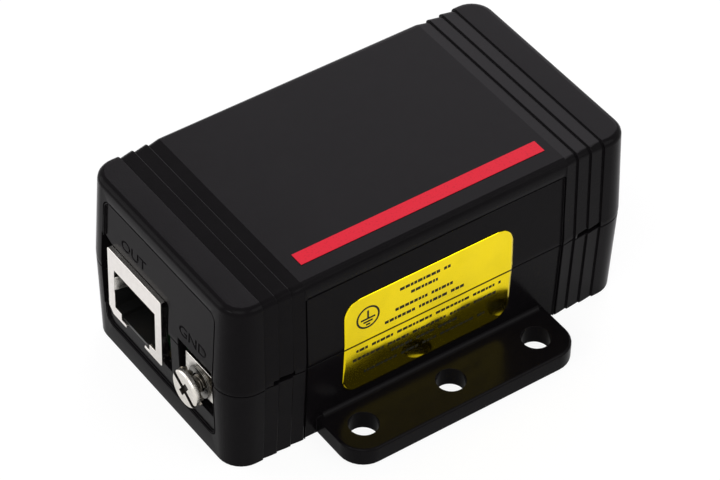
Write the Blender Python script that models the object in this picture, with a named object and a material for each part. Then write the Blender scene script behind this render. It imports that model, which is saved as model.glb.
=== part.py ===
"""Inline Ethernet surge protector: a flanged snap case around a board with two shielded sockets.

Frame: +Z is up and the underside is at z = 0. X runs along the case: the OUT end, with the ground
terminal, is at -X and the IN end is at +X. The labelled long side faces -Y. Sizes are written in
millimetres, and every finished mesh and place is scaled to metres.
"""

import math

import bmesh
import bpy
import numpy as np
from mathutils import Matrix

MM = 0.001

# Case, measured at its widest line just above the seam
CASE_LENGTH = 80.4
CASE_WIDTH = 44.0
CASE_HEIGHT = 35.0
PARTING_HEIGHT = 16.8
WIDEST_ABOVE_PARTING = 1.1
UPPER_DRAFT = 0.045
LOWER_DRAFT = 0.035
CORNER_RADIUS = 5.0
TOP_EDGE_RADIUS = 1.2
BOTTOM_EDGE_RADIUS = 0.2
WALL = 2.0
SEAM_GAP = 0.15

# Lap joint behind the seam, with the snap ridges on the bottom shell's tongue
SKIRT_THICKNESS = 1.0
LAP_CLEARANCE = 0.25
TONGUE_HEIGHT = 1.6
SNAP_LENGTH = 8.0
SNAP_FROM_MIDDLE = 12.0
SNAP_HEIGHT = 0.5
SNAP_REACH = 0.2
SNAP_ABOVE_PARTING = 0.55
SNAP_CLEARANCE = 0.15

# Shingle ribs near both ends: from the end wall towards the middle
RIB_FROM_END = 6.4
RIB_PITCH = 2.7
LAST_RIB_WIDTH = 2.45
RIB_COUNT = 3
RIB_STEP = 0.30

# Shallow panels
SIDE_PANEL_FROM_RIBS = 0.45
SIDE_PANEL_BELOW_TOP = 3.3
SIDE_PANEL_DEPTH = 0.30
END_PANEL_SIDE_MARGIN = 5.95
END_PANEL_BELOW_TOP = 3.3
END_PANEL_ABOVE_BASE = 4.6
END_PANEL_DEPTH = 0.40
END_PANEL_CORNER_RADIUS = 1.5

# Pry slots in the lower edge of the cover: where each starts and ends, from the front side's two ends
PRY_SLOT_FROM_OUT_END = (8.05, 12.25)
PRY_SLOT_FROM_IN_END = (6.35, 11.25)
PRY_SLOT_HEIGHT = 0.9

# Mounting flanges
FLANGE_FROM_RIBS = 2.8
FLANGE_REACH = 10.3
FLANGE_THICKNESS = 3.65
FLANGE_CORNER_RADIUS = 4.6
FLANGE_EDGE_RADIUS = 0.45
FLANGE_FILLET = 1.0
FLANGE_HOLE_DIAMETER = 5.15
FLANGE_HOLE_FROM_END = 5.5
FLANGE_HOLE_COUNT = 3
FLANGE_HOLE_FROM_EDGE = 5.7

# Circuit board on its bosses
BOARD_CLEARANCE = 0.55
BOARD_THICKNESS = 1.6
BOSS_HEIGHT = 5.05
BOSS_RADIUS = 2.6
BOSS_PILOT_RADIUS = 1.2
BOSS_FROM_SOCKET = 4.2
BOSS_FROM_SIDE = 6.5
SEAT_GAP = 0.05
BOARD_SCREW_RADIUS = 0.95
BOARD_SCREW_LENGTH = 5.2
BOARD_SCREW_HEAD_RADIUS = 2.2
BOARD_SCREW_HEAD_HEIGHT = 1.3

# Shielded sockets
JACK_WIDTH = 16.0
JACK_HEIGHT = 14.4
JACK_LENGTH = 21.0
JACK_CENTRE_Y = 6.3
JACK_ABOVE_BOARD = 0.15
JACK_PAST_CASE = 0.25
JACK_CHAMFER = 1.3
JACK_CORNER = 0.35
SHIELD_THICKNESS = 0.3
SHIELD_FLOOR_LENGTH = 4.0
SOCKET_WIDTH = 12.25
SOCKET_BOTTOM = 1.95
SOCKET_TOP = 10.45
SOCKET_DEPTH = 13.5
LATCH_WIDTH = 8.5
LATCH_BOTTOM = 0.55
LATCH_GAP_WIDTH = 5.6
LATCH_DEPTH = 9.0
SHIELD_TAB_HEIGHT = 2.8
SHIELD_TAB_BOTTOM = 6.05
SHIELD_TAB_LENGTH = 5.0
SHIELD_TAB_REACH = 1.3
SHIELD_LEG_FROM_FRONT = 8.5
SHIELD_LEG_WIDTH = 1.6
INSERT_CLEARANCE = 0.10
PEG_RADIUS = 1.6
PEG_FROM_FRONT = 12.5
PEG_FROM_MIDDLE = 4.7
CONTACT_COUNT = 8
CONTACT_PITCH = 1.02
CONTACT_THICKNESS = 0.35
CONTACT_HEIGHT = 11.25
CONTACT_TIP = (11.0, 7.4)
CONTACT_FRONT = 2.2
CONTACT_BEND_RADIUS = 0.45
CONTACT_CLEARANCE = 0.32
LEAD_THROUGH_BOARD = 1.1
BOARD_HOLE_CLEARANCE = 0.25

# Openings of the case round the sockets
JACK_OPENING_RIGHT = 1.05
JACK_OPENING_LEFT = 2.40
JACK_OPENING_TOP = 0.10
JACK_OPENING_BOTTOM = 0.45
JACK_OPENING_STEP = 0.50
JACK_OPENING_EAR = 0.95

# Ground terminal
SCREW_Y = -10.75
BRACKET_WIDTH = 8.4
BRACKET_THICKNESS = 0.9
BRACKET_FACE_BEHIND_CASE = 1.25
BRACKET_ABOVE_BOARD = 0.1
BRACKET_HEIGHT = 7.1
BRACKET_FOOT_LENGTH = 6.5
BRACKET_BEND_RADIUS = 0.7
BRACKET_LEG_WIDTH = 1.2
BRACKET_LEG_FROM_MIDDLE = 3.0
SCREW_ABOVE_BRACKET_BASE = 3.4
COLLAR_RADIUS = 2.9
COLLAR_HEIGHT = 0.3
SCREW_RADIUS = 1.45
SCREW_LENGTH = 8.0
SCREW_TIP_CHAMFER = 0.5
SCREW_BACKED_OUT = 2.1
SCREW_HEAD_RADIUS = 3.4
SCREW_HEAD_HEIGHT = 1.05
SCREW_HEAD_ROUND = 0.4
SCREW_HOLE_CLEARANCE = 0.25
SCREW_SLOT_WIDTH = 0.95
SCREW_SLOT_DEPTH = 0.6
SCREW_SLOT_ANGLE = math.radians(32.8)
SCREW_CROSS_LENGTH = 3.4
WASHER_RADIUS = 3.5
WASHER_TOOTH_DEPTH = 0.75
WASHER_TOOTH_COUNT = 12
WASHER_THICKNESS = 0.5
WASHER_CLEARANCE = 0.3
GROUND_OPENING_LEFT = 5.1
GROUND_OPENING_RIGHT = 4.6
GROUND_OPENING_TOP = 6.2
GROUND_OPENING_BOTTOM = 3.9

# Surge parts on the board
GAS_TUBE_COUNT = 4
GAS_TUBE_LENGTH = 8.0
GAS_TUBE_RADIUS = 2.6
GAS_TUBE_WAIST = 0.25
GAS_TUBE_FROM_BOSSES = 5.1
GAS_TUBE_LEAD_RADIUS = 0.4
ARRAY_COUNT = 4
ARRAY_SIZE = (5.0, 4.0, 1.5)
ARRAY_LEG_COUNT = 4
ARRAY_LEG_PITCH = 1.27
ARRAY_LEG_WIDTH = 0.42
ARRAY_LEG_REACH = 1.0

# Label and stripe
LABEL_FROM_PANEL_ENDS = (7.1, 10.2)
LABEL_ABOVE_FLANGE = 2.45
LABEL_BELOW_PANEL_TOP = 5.1
LABEL_CORNER_RADIUS = 3.2
LABEL_THICKNESS = 0.12
LABEL_GAP = 0.03
STRIPE_FROM_RIBS = (2.2, 1.5)
STRIPE_FROM_EDGE = 5.0
STRIPE_WIDTH = 2.75
STRIPE_THICKNESS = 0.08

CORNER_STEPS = 8
FILLET_STEPS = 4
PAST = 5
RIB_CLEAR = 0.02

OUT, IN = -1, 1

# Places worked out from the sizes
WIDEST_HEIGHT = PARTING_HEIGHT + WIDEST_ABOVE_PARTING
RIB_STATIONS = [CASE_LENGTH / 2 - RIB_FROM_END - RIB_PITCH * index for index in range(RIB_COUNT)]
RIB_INNER = RIB_STATIONS[-1] - LAST_RIB_WIDTH
SIDE_PANEL_HALF = RIB_INNER - SIDE_PANEL_FROM_RIBS
FLANGE_HALF = RIB_INNER - FLANGE_FROM_RIBS
BOARD_BOTTOM = WALL + BOSS_HEIGHT + SEAT_GAP
BOARD_TOP = BOARD_BOTTOM + BOARD_THICKNESS
JACK_BOTTOM = BOARD_TOP + JACK_ABOVE_BOARD
JACK_FRONT = CASE_LENGTH / 2 + JACK_PAST_CASE
JACK_BACK = JACK_FRONT - JACK_LENGTH
BOSS_X = JACK_BACK - BOSS_FROM_SOCKET
BOSS_Y = CASE_WIDTH / 2 - BOSS_FROM_SIDE
GAS_TUBE_Y = BOSS_Y - GAS_TUBE_FROM_BOSSES - GAS_TUBE_LENGTH / 2
ARRAY_Y = (GAS_TUBE_Y - GAS_TUBE_LENGTH / 2 - BOSS_Y + BOARD_SCREW_HEAD_RADIUS) / 2
LEAD_REACH = BOARD_THICKNESS + LEAD_THROUGH_BOARD
CONTACT_TAIL = JACK_LENGTH - SHIELD_THICKNESS - CONTACT_CLEARANCE - CONTACT_THICKNESS / 2
INSERT_BACK = CONTACT_TAIL - CONTACT_THICKNESS / 2 - CONTACT_CLEARANCE
BRACKET_FACE = -(CASE_LENGTH / 2 - BRACKET_FACE_BEHIND_CASE)
BRACKET_BASE = BOARD_TOP + BRACKET_ABOVE_BOARD
SCREW_Z = BRACKET_BASE + SCREW_ABOVE_BRACKET_BASE
SCREW_SEAT = BRACKET_FACE - SCREW_BACKED_OUT


def clear_scene():
    """Remove every object that the startup file brings."""
    for obj in list(bpy.data.objects):
        bpy.data.objects.remove(obj, do_unlink=True)


def finish_material(name, colour, roughness, metallic=0.0):
    """A Principled material with one colour, roughness and metallic value."""
    material = bpy.data.materials.new(name)
    material.use_nodes = True
    shader = material.node_tree.nodes["Principled BSDF"]
    shader.inputs["Base Color"].default_value = (*colour, 1.0)
    shader.inputs["Roughness"].default_value = roughness
    shader.inputs["Metallic"].default_value = metallic
    material.diffuse_color = (*colour, 1.0)
    return material


def dress(obj, material, smooth_below=35.0):
    """Scale a finished solid to metres and give it its material and shading."""
    obj.data.transform(Matrix.Scale(MM, 4))
    obj.data.materials.clear()
    obj.data.materials.append(material)
    obj.data.shade_smooth()
    obj.data.set_sharp_from_angle(angle=math.radians(smooth_below))
    return obj


def put(obj, place):
    """Set an object down at a place given in millimetres."""
    obj.location = [MM * value for value in place]


def solid(name, points, faces):
    """An object whose faces are turned outwards."""
    shape = bmesh.new()
    corners = [shape.verts.new(point) for point in points]
    for face in faces:
        shape.faces.new([corners[index] for index in face])
    bmesh.ops.recalc_face_normals(shape, faces=shape.faces)
    mesh = bpy.data.meshes.new(name)
    shape.to_mesh(mesh)
    shape.free()
    obj = bpy.data.objects.new(name, mesh)
    bpy.context.collection.objects.link(obj)
    return obj


def loft(name, loops):
    """A closed solid through loops of equally many points, with a flat cap at each end."""
    count = len(loops[0])
    points = [tuple(point) for loop in loops for point in loop]
    faces = []
    for level in range(len(loops) - 1):
        low, high = level * count, (level + 1) * count
        for index in range(count):
            after = (index + 1) % count
            faces.append((low + index, low + after, high + after, high + index))
    faces.append(tuple(range(count)))
    faces.append(tuple(range(len(points) - count, len(points))))
    return solid(name, points, faces)


def prism(name, outline, axis, low, high):
    """A flat outline carried along an axis (0, 1 or 2) from one place to another."""
    return loft(name, [np.insert(np.asarray(outline, float), axis, place, axis=1) for place in (low, high)])


def box(name, low, high):
    """A block between two corners."""
    outline = [(low[0], low[1]), (high[0], low[1]), (high[0], high[1]), (low[0], high[1])]
    return prism(name, outline, 2, low[2], high[2])


def circle(centre, radius, count=24):
    """The points of a circle."""
    turns = np.arange(count) * 2 * math.pi / count
    return np.column_stack([centre[0] + radius * np.cos(turns), centre[1] + radius * np.sin(turns)])


def cylinder(name, axis, centre, radius, low, high, count=24):
    """A round bar along an axis; centre holds its two other coordinates."""
    return prism(name, circle(centre, radius, count), axis, low, high)


def revolve(name, profile, count=32):
    """Turn (x, radius) points about the X axis; both ends are closed with a flat cap."""
    turns = np.arange(count) * 2 * math.pi / count
    loops = [np.column_stack([np.full(count, x), r * np.cos(turns), r * np.sin(turns)]) for x, r in profile]
    return loft(name, loops)


def arc(centre, radius, start, end, steps):
    """Points of an arc between two angles in degrees."""
    turns = np.radians(np.linspace(start, end, steps + 1))
    return [(centre[0] + radius * math.cos(turn), centre[1] + radius * math.sin(turn)) for turn in turns]


def rounded_rectangle(low, high, radius, steps=CORNER_STEPS):
    """A rectangle between two corners with round corners, counterclockwise."""
    (x0, y0), (x1, y1) = low, high
    return (
        arc((x1 - radius, y1 - radius), radius, 0, 90, steps)
        + arc((x0 + radius, y1 - radius), radius, 90, 180, steps)
        + arc((x0 + radius, y0 + radius), radius, 180, 270, steps)
        + arc((x1 - radius, y0 + radius), radius, 270, 360, steps)
    )


def strip_outline(path, thickness):
    """The outline of a bent strip: a path widened by half its thickness to each side."""
    path = np.asarray(path, float)
    along = np.diff(path, axis=0)
    along /= np.linalg.norm(along, axis=1)[:, None]
    before = np.vstack([along[:1], along])
    after = np.vstack([along, along[-1:]])
    mitre = before + after
    mitre /= np.linalg.norm(mitre, axis=1)[:, None]
    across = np.column_stack([-mitre[:, 1], mitre[:, 0]])
    stretch = thickness / 2 / np.sum(mitre * after, axis=1)[:, None]
    return np.vstack([path + across * stretch, (path - across * stretch)[::-1]])


def combine(target, tool, operation):
    """Apply an exact Boolean to the target and delete the tool."""
    modifier = target.modifiers.new(operation, "BOOLEAN")
    modifier.operation = operation
    modifier.solver = "EXACT"
    modifier.object = tool
    graph = bpy.context.evaluated_depsgraph_get()
    mesh = bpy.data.meshes.new_from_object(target.evaluated_get(graph))
    target.modifiers.clear()
    target.data = mesh
    bpy.data.objects.remove(tool, do_unlink=True)


def cut(target, *tools):
    for tool in tools:
        combine(target, tool, "DIFFERENCE")


def join(target, *tools):
    for tool in tools:
        combine(target, tool, "UNION")


def skin_offset(height):
    """Where the drafted skin stands at a height, next to its widest line: below zero further in."""
    if height >= WIDEST_HEIGHT:
        return UPPER_DRAFT * (WIDEST_HEIGHT - height)
    return LOWER_DRAFT * (height - WIDEST_HEIGHT)


def skin_loop(height, inset):
    """The case's rounded outline at a height, drawn in by an inset."""
    out = skin_offset(height) - inset
    half = (CASE_LENGTH / 2 + out, CASE_WIDTH / 2 + out)
    outline = rounded_rectangle((-half[0], -half[1]), half, CORNER_RADIUS + out)
    return [(x, y, height) for x, y in outline]


def side_profile(inset, low, high):
    """The case's section across X, drawn in by an inset: points (y, z) with round top edges."""
    top = CASE_HEIGHT - inset if high is None else high
    heights = [low, WIDEST_HEIGHT]
    right = [(CASE_WIDTH / 2 + skin_offset(z) - inset, z) for z in heights]
    if high is None:
        radius = TOP_EDGE_RADIUS
        edge = CASE_WIDTH / 2 + skin_offset(CASE_HEIGHT) - inset
        right += arc((edge - radius, top - radius), radius, 0, 90, FILLET_STEPS)
    else:
        right.append((CASE_WIDTH / 2 + skin_offset(top) - inset, top))
    left = [(-y, z) for y, z in reversed(right)]
    return right + left


def rib_cutter(side):
    """What the shingle ribs take away near one end: a block less a sawtooth of drawn-in sections."""
    first, inner = RIB_STATIONS[0], RIB_INNER
    reach = CASE_WIDTH / 2 + PAST
    block = box(
        "rib_block",
        (min(side * inner, side * first), -reach, -PAST),
        (max(side * inner, side * first), reach, CASE_HEIGHT + PAST),
    )
    stations = [(inner - PAST, -RIB_CLEAR), (inner, -RIB_CLEAR)]
    for place in reversed(RIB_STATIONS):
        stations.append((place, RIB_STEP))
        stations.append((place, -RIB_CLEAR))
    stations[-1] = (first + PAST, RIB_STEP)
    loops = []
    for place, inset in stations:
        section = side_profile(inset, -2 * PAST, None)
        loops.append([(side * place, y, z) for y, z in section])
    cut(block, loft("rib_core", loops))
    return block


def side_panel_cutter(side):
    """The shallow panel of a long side, from below its top edge down past the base."""
    top = CASE_HEIGHT - SIDE_PANEL_BELOW_TOP
    half = CASE_WIDTH / 2 - SIDE_PANEL_DEPTH
    heights = [-PAST, WIDEST_HEIGHT, top]
    inner = [(side * (half + skin_offset(z)), z) for z in heights]
    outer = [(side * (CASE_WIDTH / 2 + PAST), z) for z in (top, -PAST)]
    return prism("side_panel", inner + outer, 0, -SIDE_PANEL_HALF, SIDE_PANEL_HALF)


def end_panel_cutter(side):
    """The shallow panel of an end wall, between the corners, with round corners of its own."""
    half = CASE_LENGTH / 2 - END_PANEL_DEPTH
    inner = [(side * (half + skin_offset(z)), z) for z in (-PAST, WIDEST_HEIGHT, CASE_HEIGHT + PAST)]
    outer = [(side * (CASE_LENGTH / 2 + PAST), z) for z in (CASE_HEIGHT + PAST, -PAST)]
    panel = prism("end_panel", inner + outer, 1, -CASE_WIDTH, CASE_WIDTH)
    half_width = CASE_WIDTH / 2 - END_PANEL_SIDE_MARGIN
    low, high = (-half_width, END_PANEL_ABOVE_BASE), (half_width, CASE_HEIGHT - END_PANEL_BELOW_TOP)
    outline = rounded_rectangle(low, high, END_PANEL_CORNER_RADIUS, FILLET_STEPS)
    combine(panel, end_cut("panel_outline", outline, side, 2 * PAST), "INTERSECT")
    return panel


def end_cut(name, outline, side, past=PAST):
    """Carry a (y, z) outline through one end wall and some way past it."""
    inner, outer = CASE_LENGTH / 2 - 2.5 * WALL, CASE_LENGTH / 2 + past
    return prism(name, outline, 0, min(side * inner, side * outer), max(side * inner, side * outer))


def jack_opening_outline():
    """The opening round a socket: wider below the seam, with a cut-back ear at its upper left."""
    left = JACK_CENTRE_Y + JACK_WIDTH / 2 + JACK_OPENING_LEFT
    right = JACK_CENTRE_Y - JACK_WIDTH / 2 - JACK_OPENING_RIGHT
    top = JACK_BOTTOM + JACK_HEIGHT + JACK_OPENING_TOP
    bottom = JACK_BOTTOM - JACK_OPENING_BOTTOM
    return [
        (left, bottom),
        (left, top + JACK_OPENING_EAR),
        (left - JACK_OPENING_LEFT, top),
        (right + JACK_OPENING_STEP, top),
        (right, top - JACK_OPENING_STEP),
        (right, PARTING_HEIGHT),
        (right - JACK_OPENING_STEP, PARTING_HEIGHT),
        (right - JACK_OPENING_STEP, bottom),
    ]


def ground_opening_outline():
    """The rectangular opening in front of the ground terminal."""
    left, right = SCREW_Y + GROUND_OPENING_LEFT, SCREW_Y - GROUND_OPENING_RIGHT
    top, bottom = SCREW_Z + GROUND_OPENING_TOP, SCREW_Z - GROUND_OPENING_BOTTOM
    return [(right, bottom), (left, bottom), (left, top), (right, top)]


def cut_skin(shell):
    """Take the panels, ribs and end openings out of either half of the case."""
    for side in (-1, 1):
        cut(shell, side_panel_cutter(side), end_panel_cutter(side), rib_cutter(side))


def cut_ends(shell):
    """Open the end walls for the sockets and the ground terminal."""
    for side in (OUT, IN):
        cut(shell, end_cut("jack_opening", jack_opening_outline(), side))
    cut(shell, end_cut("ground_opening", ground_opening_outline(), OUT))


def snap_box(name, side, along, grow, thickness_from, thickness_to):
    """A block on a long side of the lap joint, between two insets from the skin."""
    low = PARTING_HEIGHT + SNAP_ABOVE_PARTING - grow
    high = low + SNAP_HEIGHT + 2 * grow
    half = SNAP_LENGTH / 2 + grow
    skin = CASE_WIDTH / 2 + skin_offset(PARTING_HEIGHT)
    near, far = side * (skin - thickness_from), side * (skin - thickness_to)
    return box(name, (along - half, min(near, far), low), (along + half, max(near, far), high))


def snap_places():
    """Side and place along X of the four snap ridges."""
    return [(side, along * SNAP_FROM_MIDDLE) for side in (-1, 1) for along in (-1, 1)]


def make_top_cover(material):
    """The upper shell: drafted walls, round top edges, ribs, panels, openings and pry slots."""
    loops = [skin_loop(PARTING_HEIGHT, 0), skin_loop(WIDEST_HEIGHT, 0)]
    for turn in np.radians(np.linspace(0, 90, FILLET_STEPS + 1)):
        height = CASE_HEIGHT - TOP_EDGE_RADIUS * (1 - math.sin(turn))
        loops.append(skin_loop(height, TOP_EDGE_RADIUS * (1 - math.cos(turn))))
    cover = loft("top_cover", loops)
    cut_skin(cover)
    heights = (PARTING_HEIGHT - PAST, WIDEST_HEIGHT, CASE_HEIGHT - WALL)
    cut(cover, loft("cavity", [skin_loop(height, WALL) for height in heights]))
    lap_top = PARTING_HEIGHT + TONGUE_HEIGHT + LAP_CLEARANCE
    cut(cover, loft("lap", [skin_loop(z, SKIRT_THICKNESS) for z in (PARTING_HEIGHT - PAST, WIDEST_HEIGHT, lap_top)]))
    cut_ends(cover)
    skin = CASE_WIDTH / 2 + skin_offset(WIDEST_HEIGHT)
    top = PARTING_HEIGHT + PRY_SLOT_HEIGHT
    for side in (-1, 1):
        inner, outer = sorted((side * (skin - 1.5 * SKIRT_THICKNESS), side * (skin + PAST)))
        for end, (near, far) in ((side, PRY_SLOT_FROM_OUT_END), (-side, PRY_SLOT_FROM_IN_END)):
            start, stop = sorted((end * (CASE_LENGTH / 2 - near), end * (CASE_LENGTH / 2 - far)))
            cut(cover, box("pry_slot", (start, inner, -PAST), (stop, outer, top)))
    for side, along in snap_places():
        cut(cover, snap_box("snap_groove", side, along, SNAP_CLEARANCE, SKIRT_THICKNESS - SNAP_REACH, WALL))
    return dress(cover, material)


def flange(side):
    """One mounting flange: a plate with round outer corners and eased edges, filleted to the wall."""
    half = FLANGE_HALF
    skin = CASE_WIDTH / 2
    outer = skin + FLANGE_REACH
    loops = []
    ease = arc((FLANGE_EDGE_RADIUS, FLANGE_EDGE_RADIUS), FLANGE_EDGE_RADIUS, 180, 270, FILLET_STEPS - 1)
    levels = [(z, inset) for z, inset in ease]
    levels += [(FLANGE_THICKNESS - z, inset) for z, inset in reversed(ease)]
    for z, inset in levels:
        radius = FLANGE_CORNER_RADIUS - inset
        edge = half - inset
        reach = outer - inset
        outline = [(-edge, skin - WALL), (edge, skin - WALL)]
        outline += arc((edge - radius, reach - radius), radius, 0, 90, CORNER_STEPS)
        outline += arc((-edge + radius, reach - radius), radius, 90, 180, CORNER_STEPS)
        loops.append([(x, side * y, z) for x, y in outline])
    plate = loft("flange", loops)
    wall = skin + skin_offset(FLANGE_THICKNESS) - SIDE_PANEL_DEPTH
    low, reach = FLANGE_THICKNESS, FLANGE_FILLET
    profile = [(wall - 0.5 * WALL, low - reach), (wall + reach, low - reach)]
    profile += arc((wall + reach, low + reach), reach, 270, 180, FILLET_STEPS)
    profile.append((wall - 0.5 * WALL, low + reach))
    fillet = prism("flange_fillet", [(side * y, z) for y, z in profile], 0, -half + reach, half - reach)
    join(plate, fillet)
    for index in range(FLANGE_HOLE_COUNT):
        x = (2 * index / (FLANGE_HOLE_COUNT - 1) - 1) * (half - FLANGE_HOLE_FROM_END)
        y = side * (outer - FLANGE_HOLE_FROM_EDGE)
        cut(plate, cylinder("hole", 2, (x, y), FLANGE_HOLE_DIAMETER / 2, -PAST, FLANGE_THICKNESS + PAST, 32))
    return plate


def boss_places():
    """The four board screws' places in plan."""
    return [(x * BOSS_X, y * BOSS_Y) for x in (-1, 1) for y in (-1, 1)]


def make_bottom_shell(material):
    """The lower shell: drafted walls with the lap tongue, ribs, panels, flanges and board bosses."""
    rim = PARTING_HEIGHT - SEAM_GAP
    loops = []
    for turn in np.radians(np.linspace(0, 90, FILLET_STEPS)):
        inset = BOTTOM_EDGE_RADIUS * (1 - math.sin(turn))
        loops.append(skin_loop(BOTTOM_EDGE_RADIUS * (1 - math.cos(turn)), inset))
    loops.append(skin_loop(rim, 0))
    shell = loft("bottom_shell", loops)
    cut_skin(shell)
    join(shell, flange(-1), flange(1))
    tongue_inset = SKIRT_THICKNESS + LAP_CLEARANCE
    tongue_heights = (rim - TONGUE_HEIGHT, WIDEST_HEIGHT, PARTING_HEIGHT + TONGUE_HEIGHT)
    join(shell, loft("tongue", [skin_loop(height, tongue_inset) for height in tongue_heights]))
    for side, along in snap_places():
        join(shell, snap_box("snap_ridge", side, along, 0, SKIRT_THICKNESS + LAP_CLEARANCE - SNAP_REACH, WALL))
    heights = (WALL, WIDEST_HEIGHT, PARTING_HEIGHT + PAST)
    cut(shell, loft("cavity", [skin_loop(height, WALL) for height in heights]))
    cut_ends(shell)
    for x, y in boss_places():
        join(shell, cylinder("boss", 2, (x, y), BOSS_RADIUS, WALL / 2, WALL + BOSS_HEIGHT))
        cut(shell, cylinder("pilot", 2, (x, y), BOSS_PILOT_RADIUS, WALL, WALL + BOSS_HEIGHT + PAST, 16))
    return dress(shell, material)


def jack_places():
    """For each end: its name, the socket's place and its turn about Z."""
    return [
        ("out", (-JACK_FRONT, JACK_CENTRE_Y, JACK_BOTTOM), 0.0),
        ("in", (JACK_FRONT, JACK_CENTRE_Y, JACK_BOTTOM), math.pi),
    ]


def contact_offsets():
    """Each contact's place across its socket."""
    middle = (CONTACT_COUNT - 1) / 2
    return [(index - middle) * CONTACT_PITCH for index in range(CONTACT_COUNT)]


def shield_outline(inset):
    """A socket's front outline (y, z): small round corners and one chamfer at the lower left."""
    half, low, high = JACK_WIDTH / 2 - inset, inset, JACK_HEIGHT - inset
    corner, chamfer = JACK_CORNER, JACK_CHAMFER
    outline = arc((half - corner, high - corner), corner, 0, 90, 2)
    outline += arc((corner - half, high - corner), corner, 90, 180, 2)
    outline += arc((corner - half, low + corner), corner, 180, 270, 2)
    return outline + [(half - chamfer, low), (half, low + chamfer)]


def socket_outline():
    """The plug's opening in the shield: a wide mouth, a shouldered latch slot and an open gap."""
    mouth, shoulder, gap = SOCKET_WIDTH / 2, LATCH_WIDTH / 2, LATCH_GAP_WIDTH / 2
    return [
        (-mouth, SOCKET_TOP),
        (mouth, SOCKET_TOP),
        (mouth, SOCKET_BOTTOM),
        (shoulder, SOCKET_BOTTOM),
        (shoulder, LATCH_BOTTOM),
        (gap, LATCH_BOTTOM),
        (gap, -PAST),
        (-gap, -PAST),
        (-gap, LATCH_BOTTOM),
        (-shoulder, LATCH_BOTTOM),
        (-shoulder, SOCKET_BOTTOM),
        (-mouth, SOCKET_BOTTOM),
    ]


def make_shield():
    """The folded metal shell of a socket, with its sprung side tabs and its two ground legs."""
    thick = SHIELD_THICKNESS
    shield = prism("jack_shield", shield_outline(0), 0, 0, JACK_LENGTH)
    cut(shield, prism("inside", shield_outline(thick), 0, thick, JACK_LENGTH - thick))
    half = JACK_WIDTH / 2
    floor_gap = half - 2 * thick
    cut(shield, box("floor_gap", (SHIELD_FLOOR_LENGTH, -floor_gap, -PAST), (JACK_LENGTH + PAST, floor_gap, 2 * thick)))
    cut(shield, prism("mouth", socket_outline(), 0, -PAST, 2 * thick))
    for side in (-1, 1):
        root = side * (SOCKET_WIDTH / 2 + thick)
        tip = side * (SOCKET_WIDTH / 2 - SHIELD_TAB_REACH)
        start = (thick / 2, root)
        path = [start, (thick / 2, side * SOCKET_WIDTH / 2), (SHIELD_TAB_LENGTH, tip)]
        low = SHIELD_TAB_BOTTOM
        join(shield, prism("tab", strip_outline(path, 0.8 * thick), 2, low, low + SHIELD_TAB_HEIGHT))
        wall = (side * (half - 0.8 * thick), side * (half - 0.2 * thick))
        leg_low = (SHIELD_LEG_FROM_FRONT, min(wall), -JACK_ABOVE_BOARD - LEAD_REACH)
        leg_high = (SHIELD_LEG_FROM_FRONT + SHIELD_LEG_WIDTH, max(wall), JACK_HEIGHT / 4)
        join(shield, box("leg", leg_low, leg_high))
    return shield


def make_insert():
    """The plastic body inside a shield: plug cavity, latch slot, contact channel and two pegs."""
    gap = SHIELD_THICKNESS + INSERT_CLEARANCE
    front = SHIELD_THICKNESS + INSERT_CLEARANCE
    insert = prism("jack_insert", shield_outline(gap), 0, front, INSERT_BACK)
    plug = SOCKET_WIDTH / 2
    depth = SOCKET_DEPTH
    cut(insert, box("plug", (-PAST, -plug, SOCKET_BOTTOM), (depth, plug, SOCKET_TOP)))
    relief, low = plug + 2 * SHIELD_THICKNESS, SHIELD_TAB_BOTTOM - gap
    high = SHIELD_TAB_BOTTOM + SHIELD_TAB_HEIGHT + gap
    cut(insert, box("tab_relief", (-PAST, -relief, low), (SHIELD_TAB_LENGTH + gap, relief, high)))
    latch = LATCH_WIDTH / 2
    cut(insert, box("latch", (-PAST, -latch, LATCH_BOTTOM + gap), (LATCH_DEPTH, latch, SOCKET_BOTTOM + gap)))
    half = CONTACT_PITCH * (CONTACT_COUNT - 1) / 2 + CONTACT_THICKNESS / 2 + CONTACT_CLEARANCE
    top = CONTACT_HEIGHT + CONTACT_THICKNESS / 2 + CONTACT_CLEARANCE
    start = CONTACT_FRONT - CONTACT_THICKNESS - CONTACT_CLEARANCE
    cut(insert, box("channel", (start, -half, SOCKET_TOP - gap), (JACK_LENGTH + PAST, half, top)))
    for side in (-1, 1):
        centre = (PEG_FROM_FRONT, side * PEG_FROM_MIDDLE)
        low = -JACK_ABOVE_BOARD - LEAD_REACH
        join(insert, cylinder("peg", 2, centre, PEG_RADIUS, low, SOCKET_BOTTOM - gap, 20))
    return insert


def make_contact():
    """One spring contact: up from the board, forward under the roof and back into the socket."""
    radius = CONTACT_BEND_RADIUS
    bend = (CONTACT_FRONT + radius, CONTACT_HEIGHT - radius)
    path = [(CONTACT_TAIL, -JACK_ABOVE_BOARD - LEAD_REACH), (CONTACT_TAIL, CONTACT_HEIGHT)]
    path += arc(bend, radius, 90, 250, 5) + [CONTACT_TIP]
    half = CONTACT_THICKNESS / 2
    return prism("contact", strip_outline(path, CONTACT_THICKNESS), 1, -half, half)


def place_copy(name, mesh, place, turn=(0.0, 0.0, 0.0)):
    """A named object that shares a mesh, at a place and turned."""
    obj = bpy.data.objects.new(name, mesh)
    put(obj, place)
    obj.rotation_euler = turn
    bpy.context.collection.objects.link(obj)


def take_mesh(obj, material):
    """The dressed mesh of a pattern object, which itself is deleted."""
    mesh = dress(obj, material).data
    bpy.data.objects.remove(obj, do_unlink=True)
    return mesh


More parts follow.
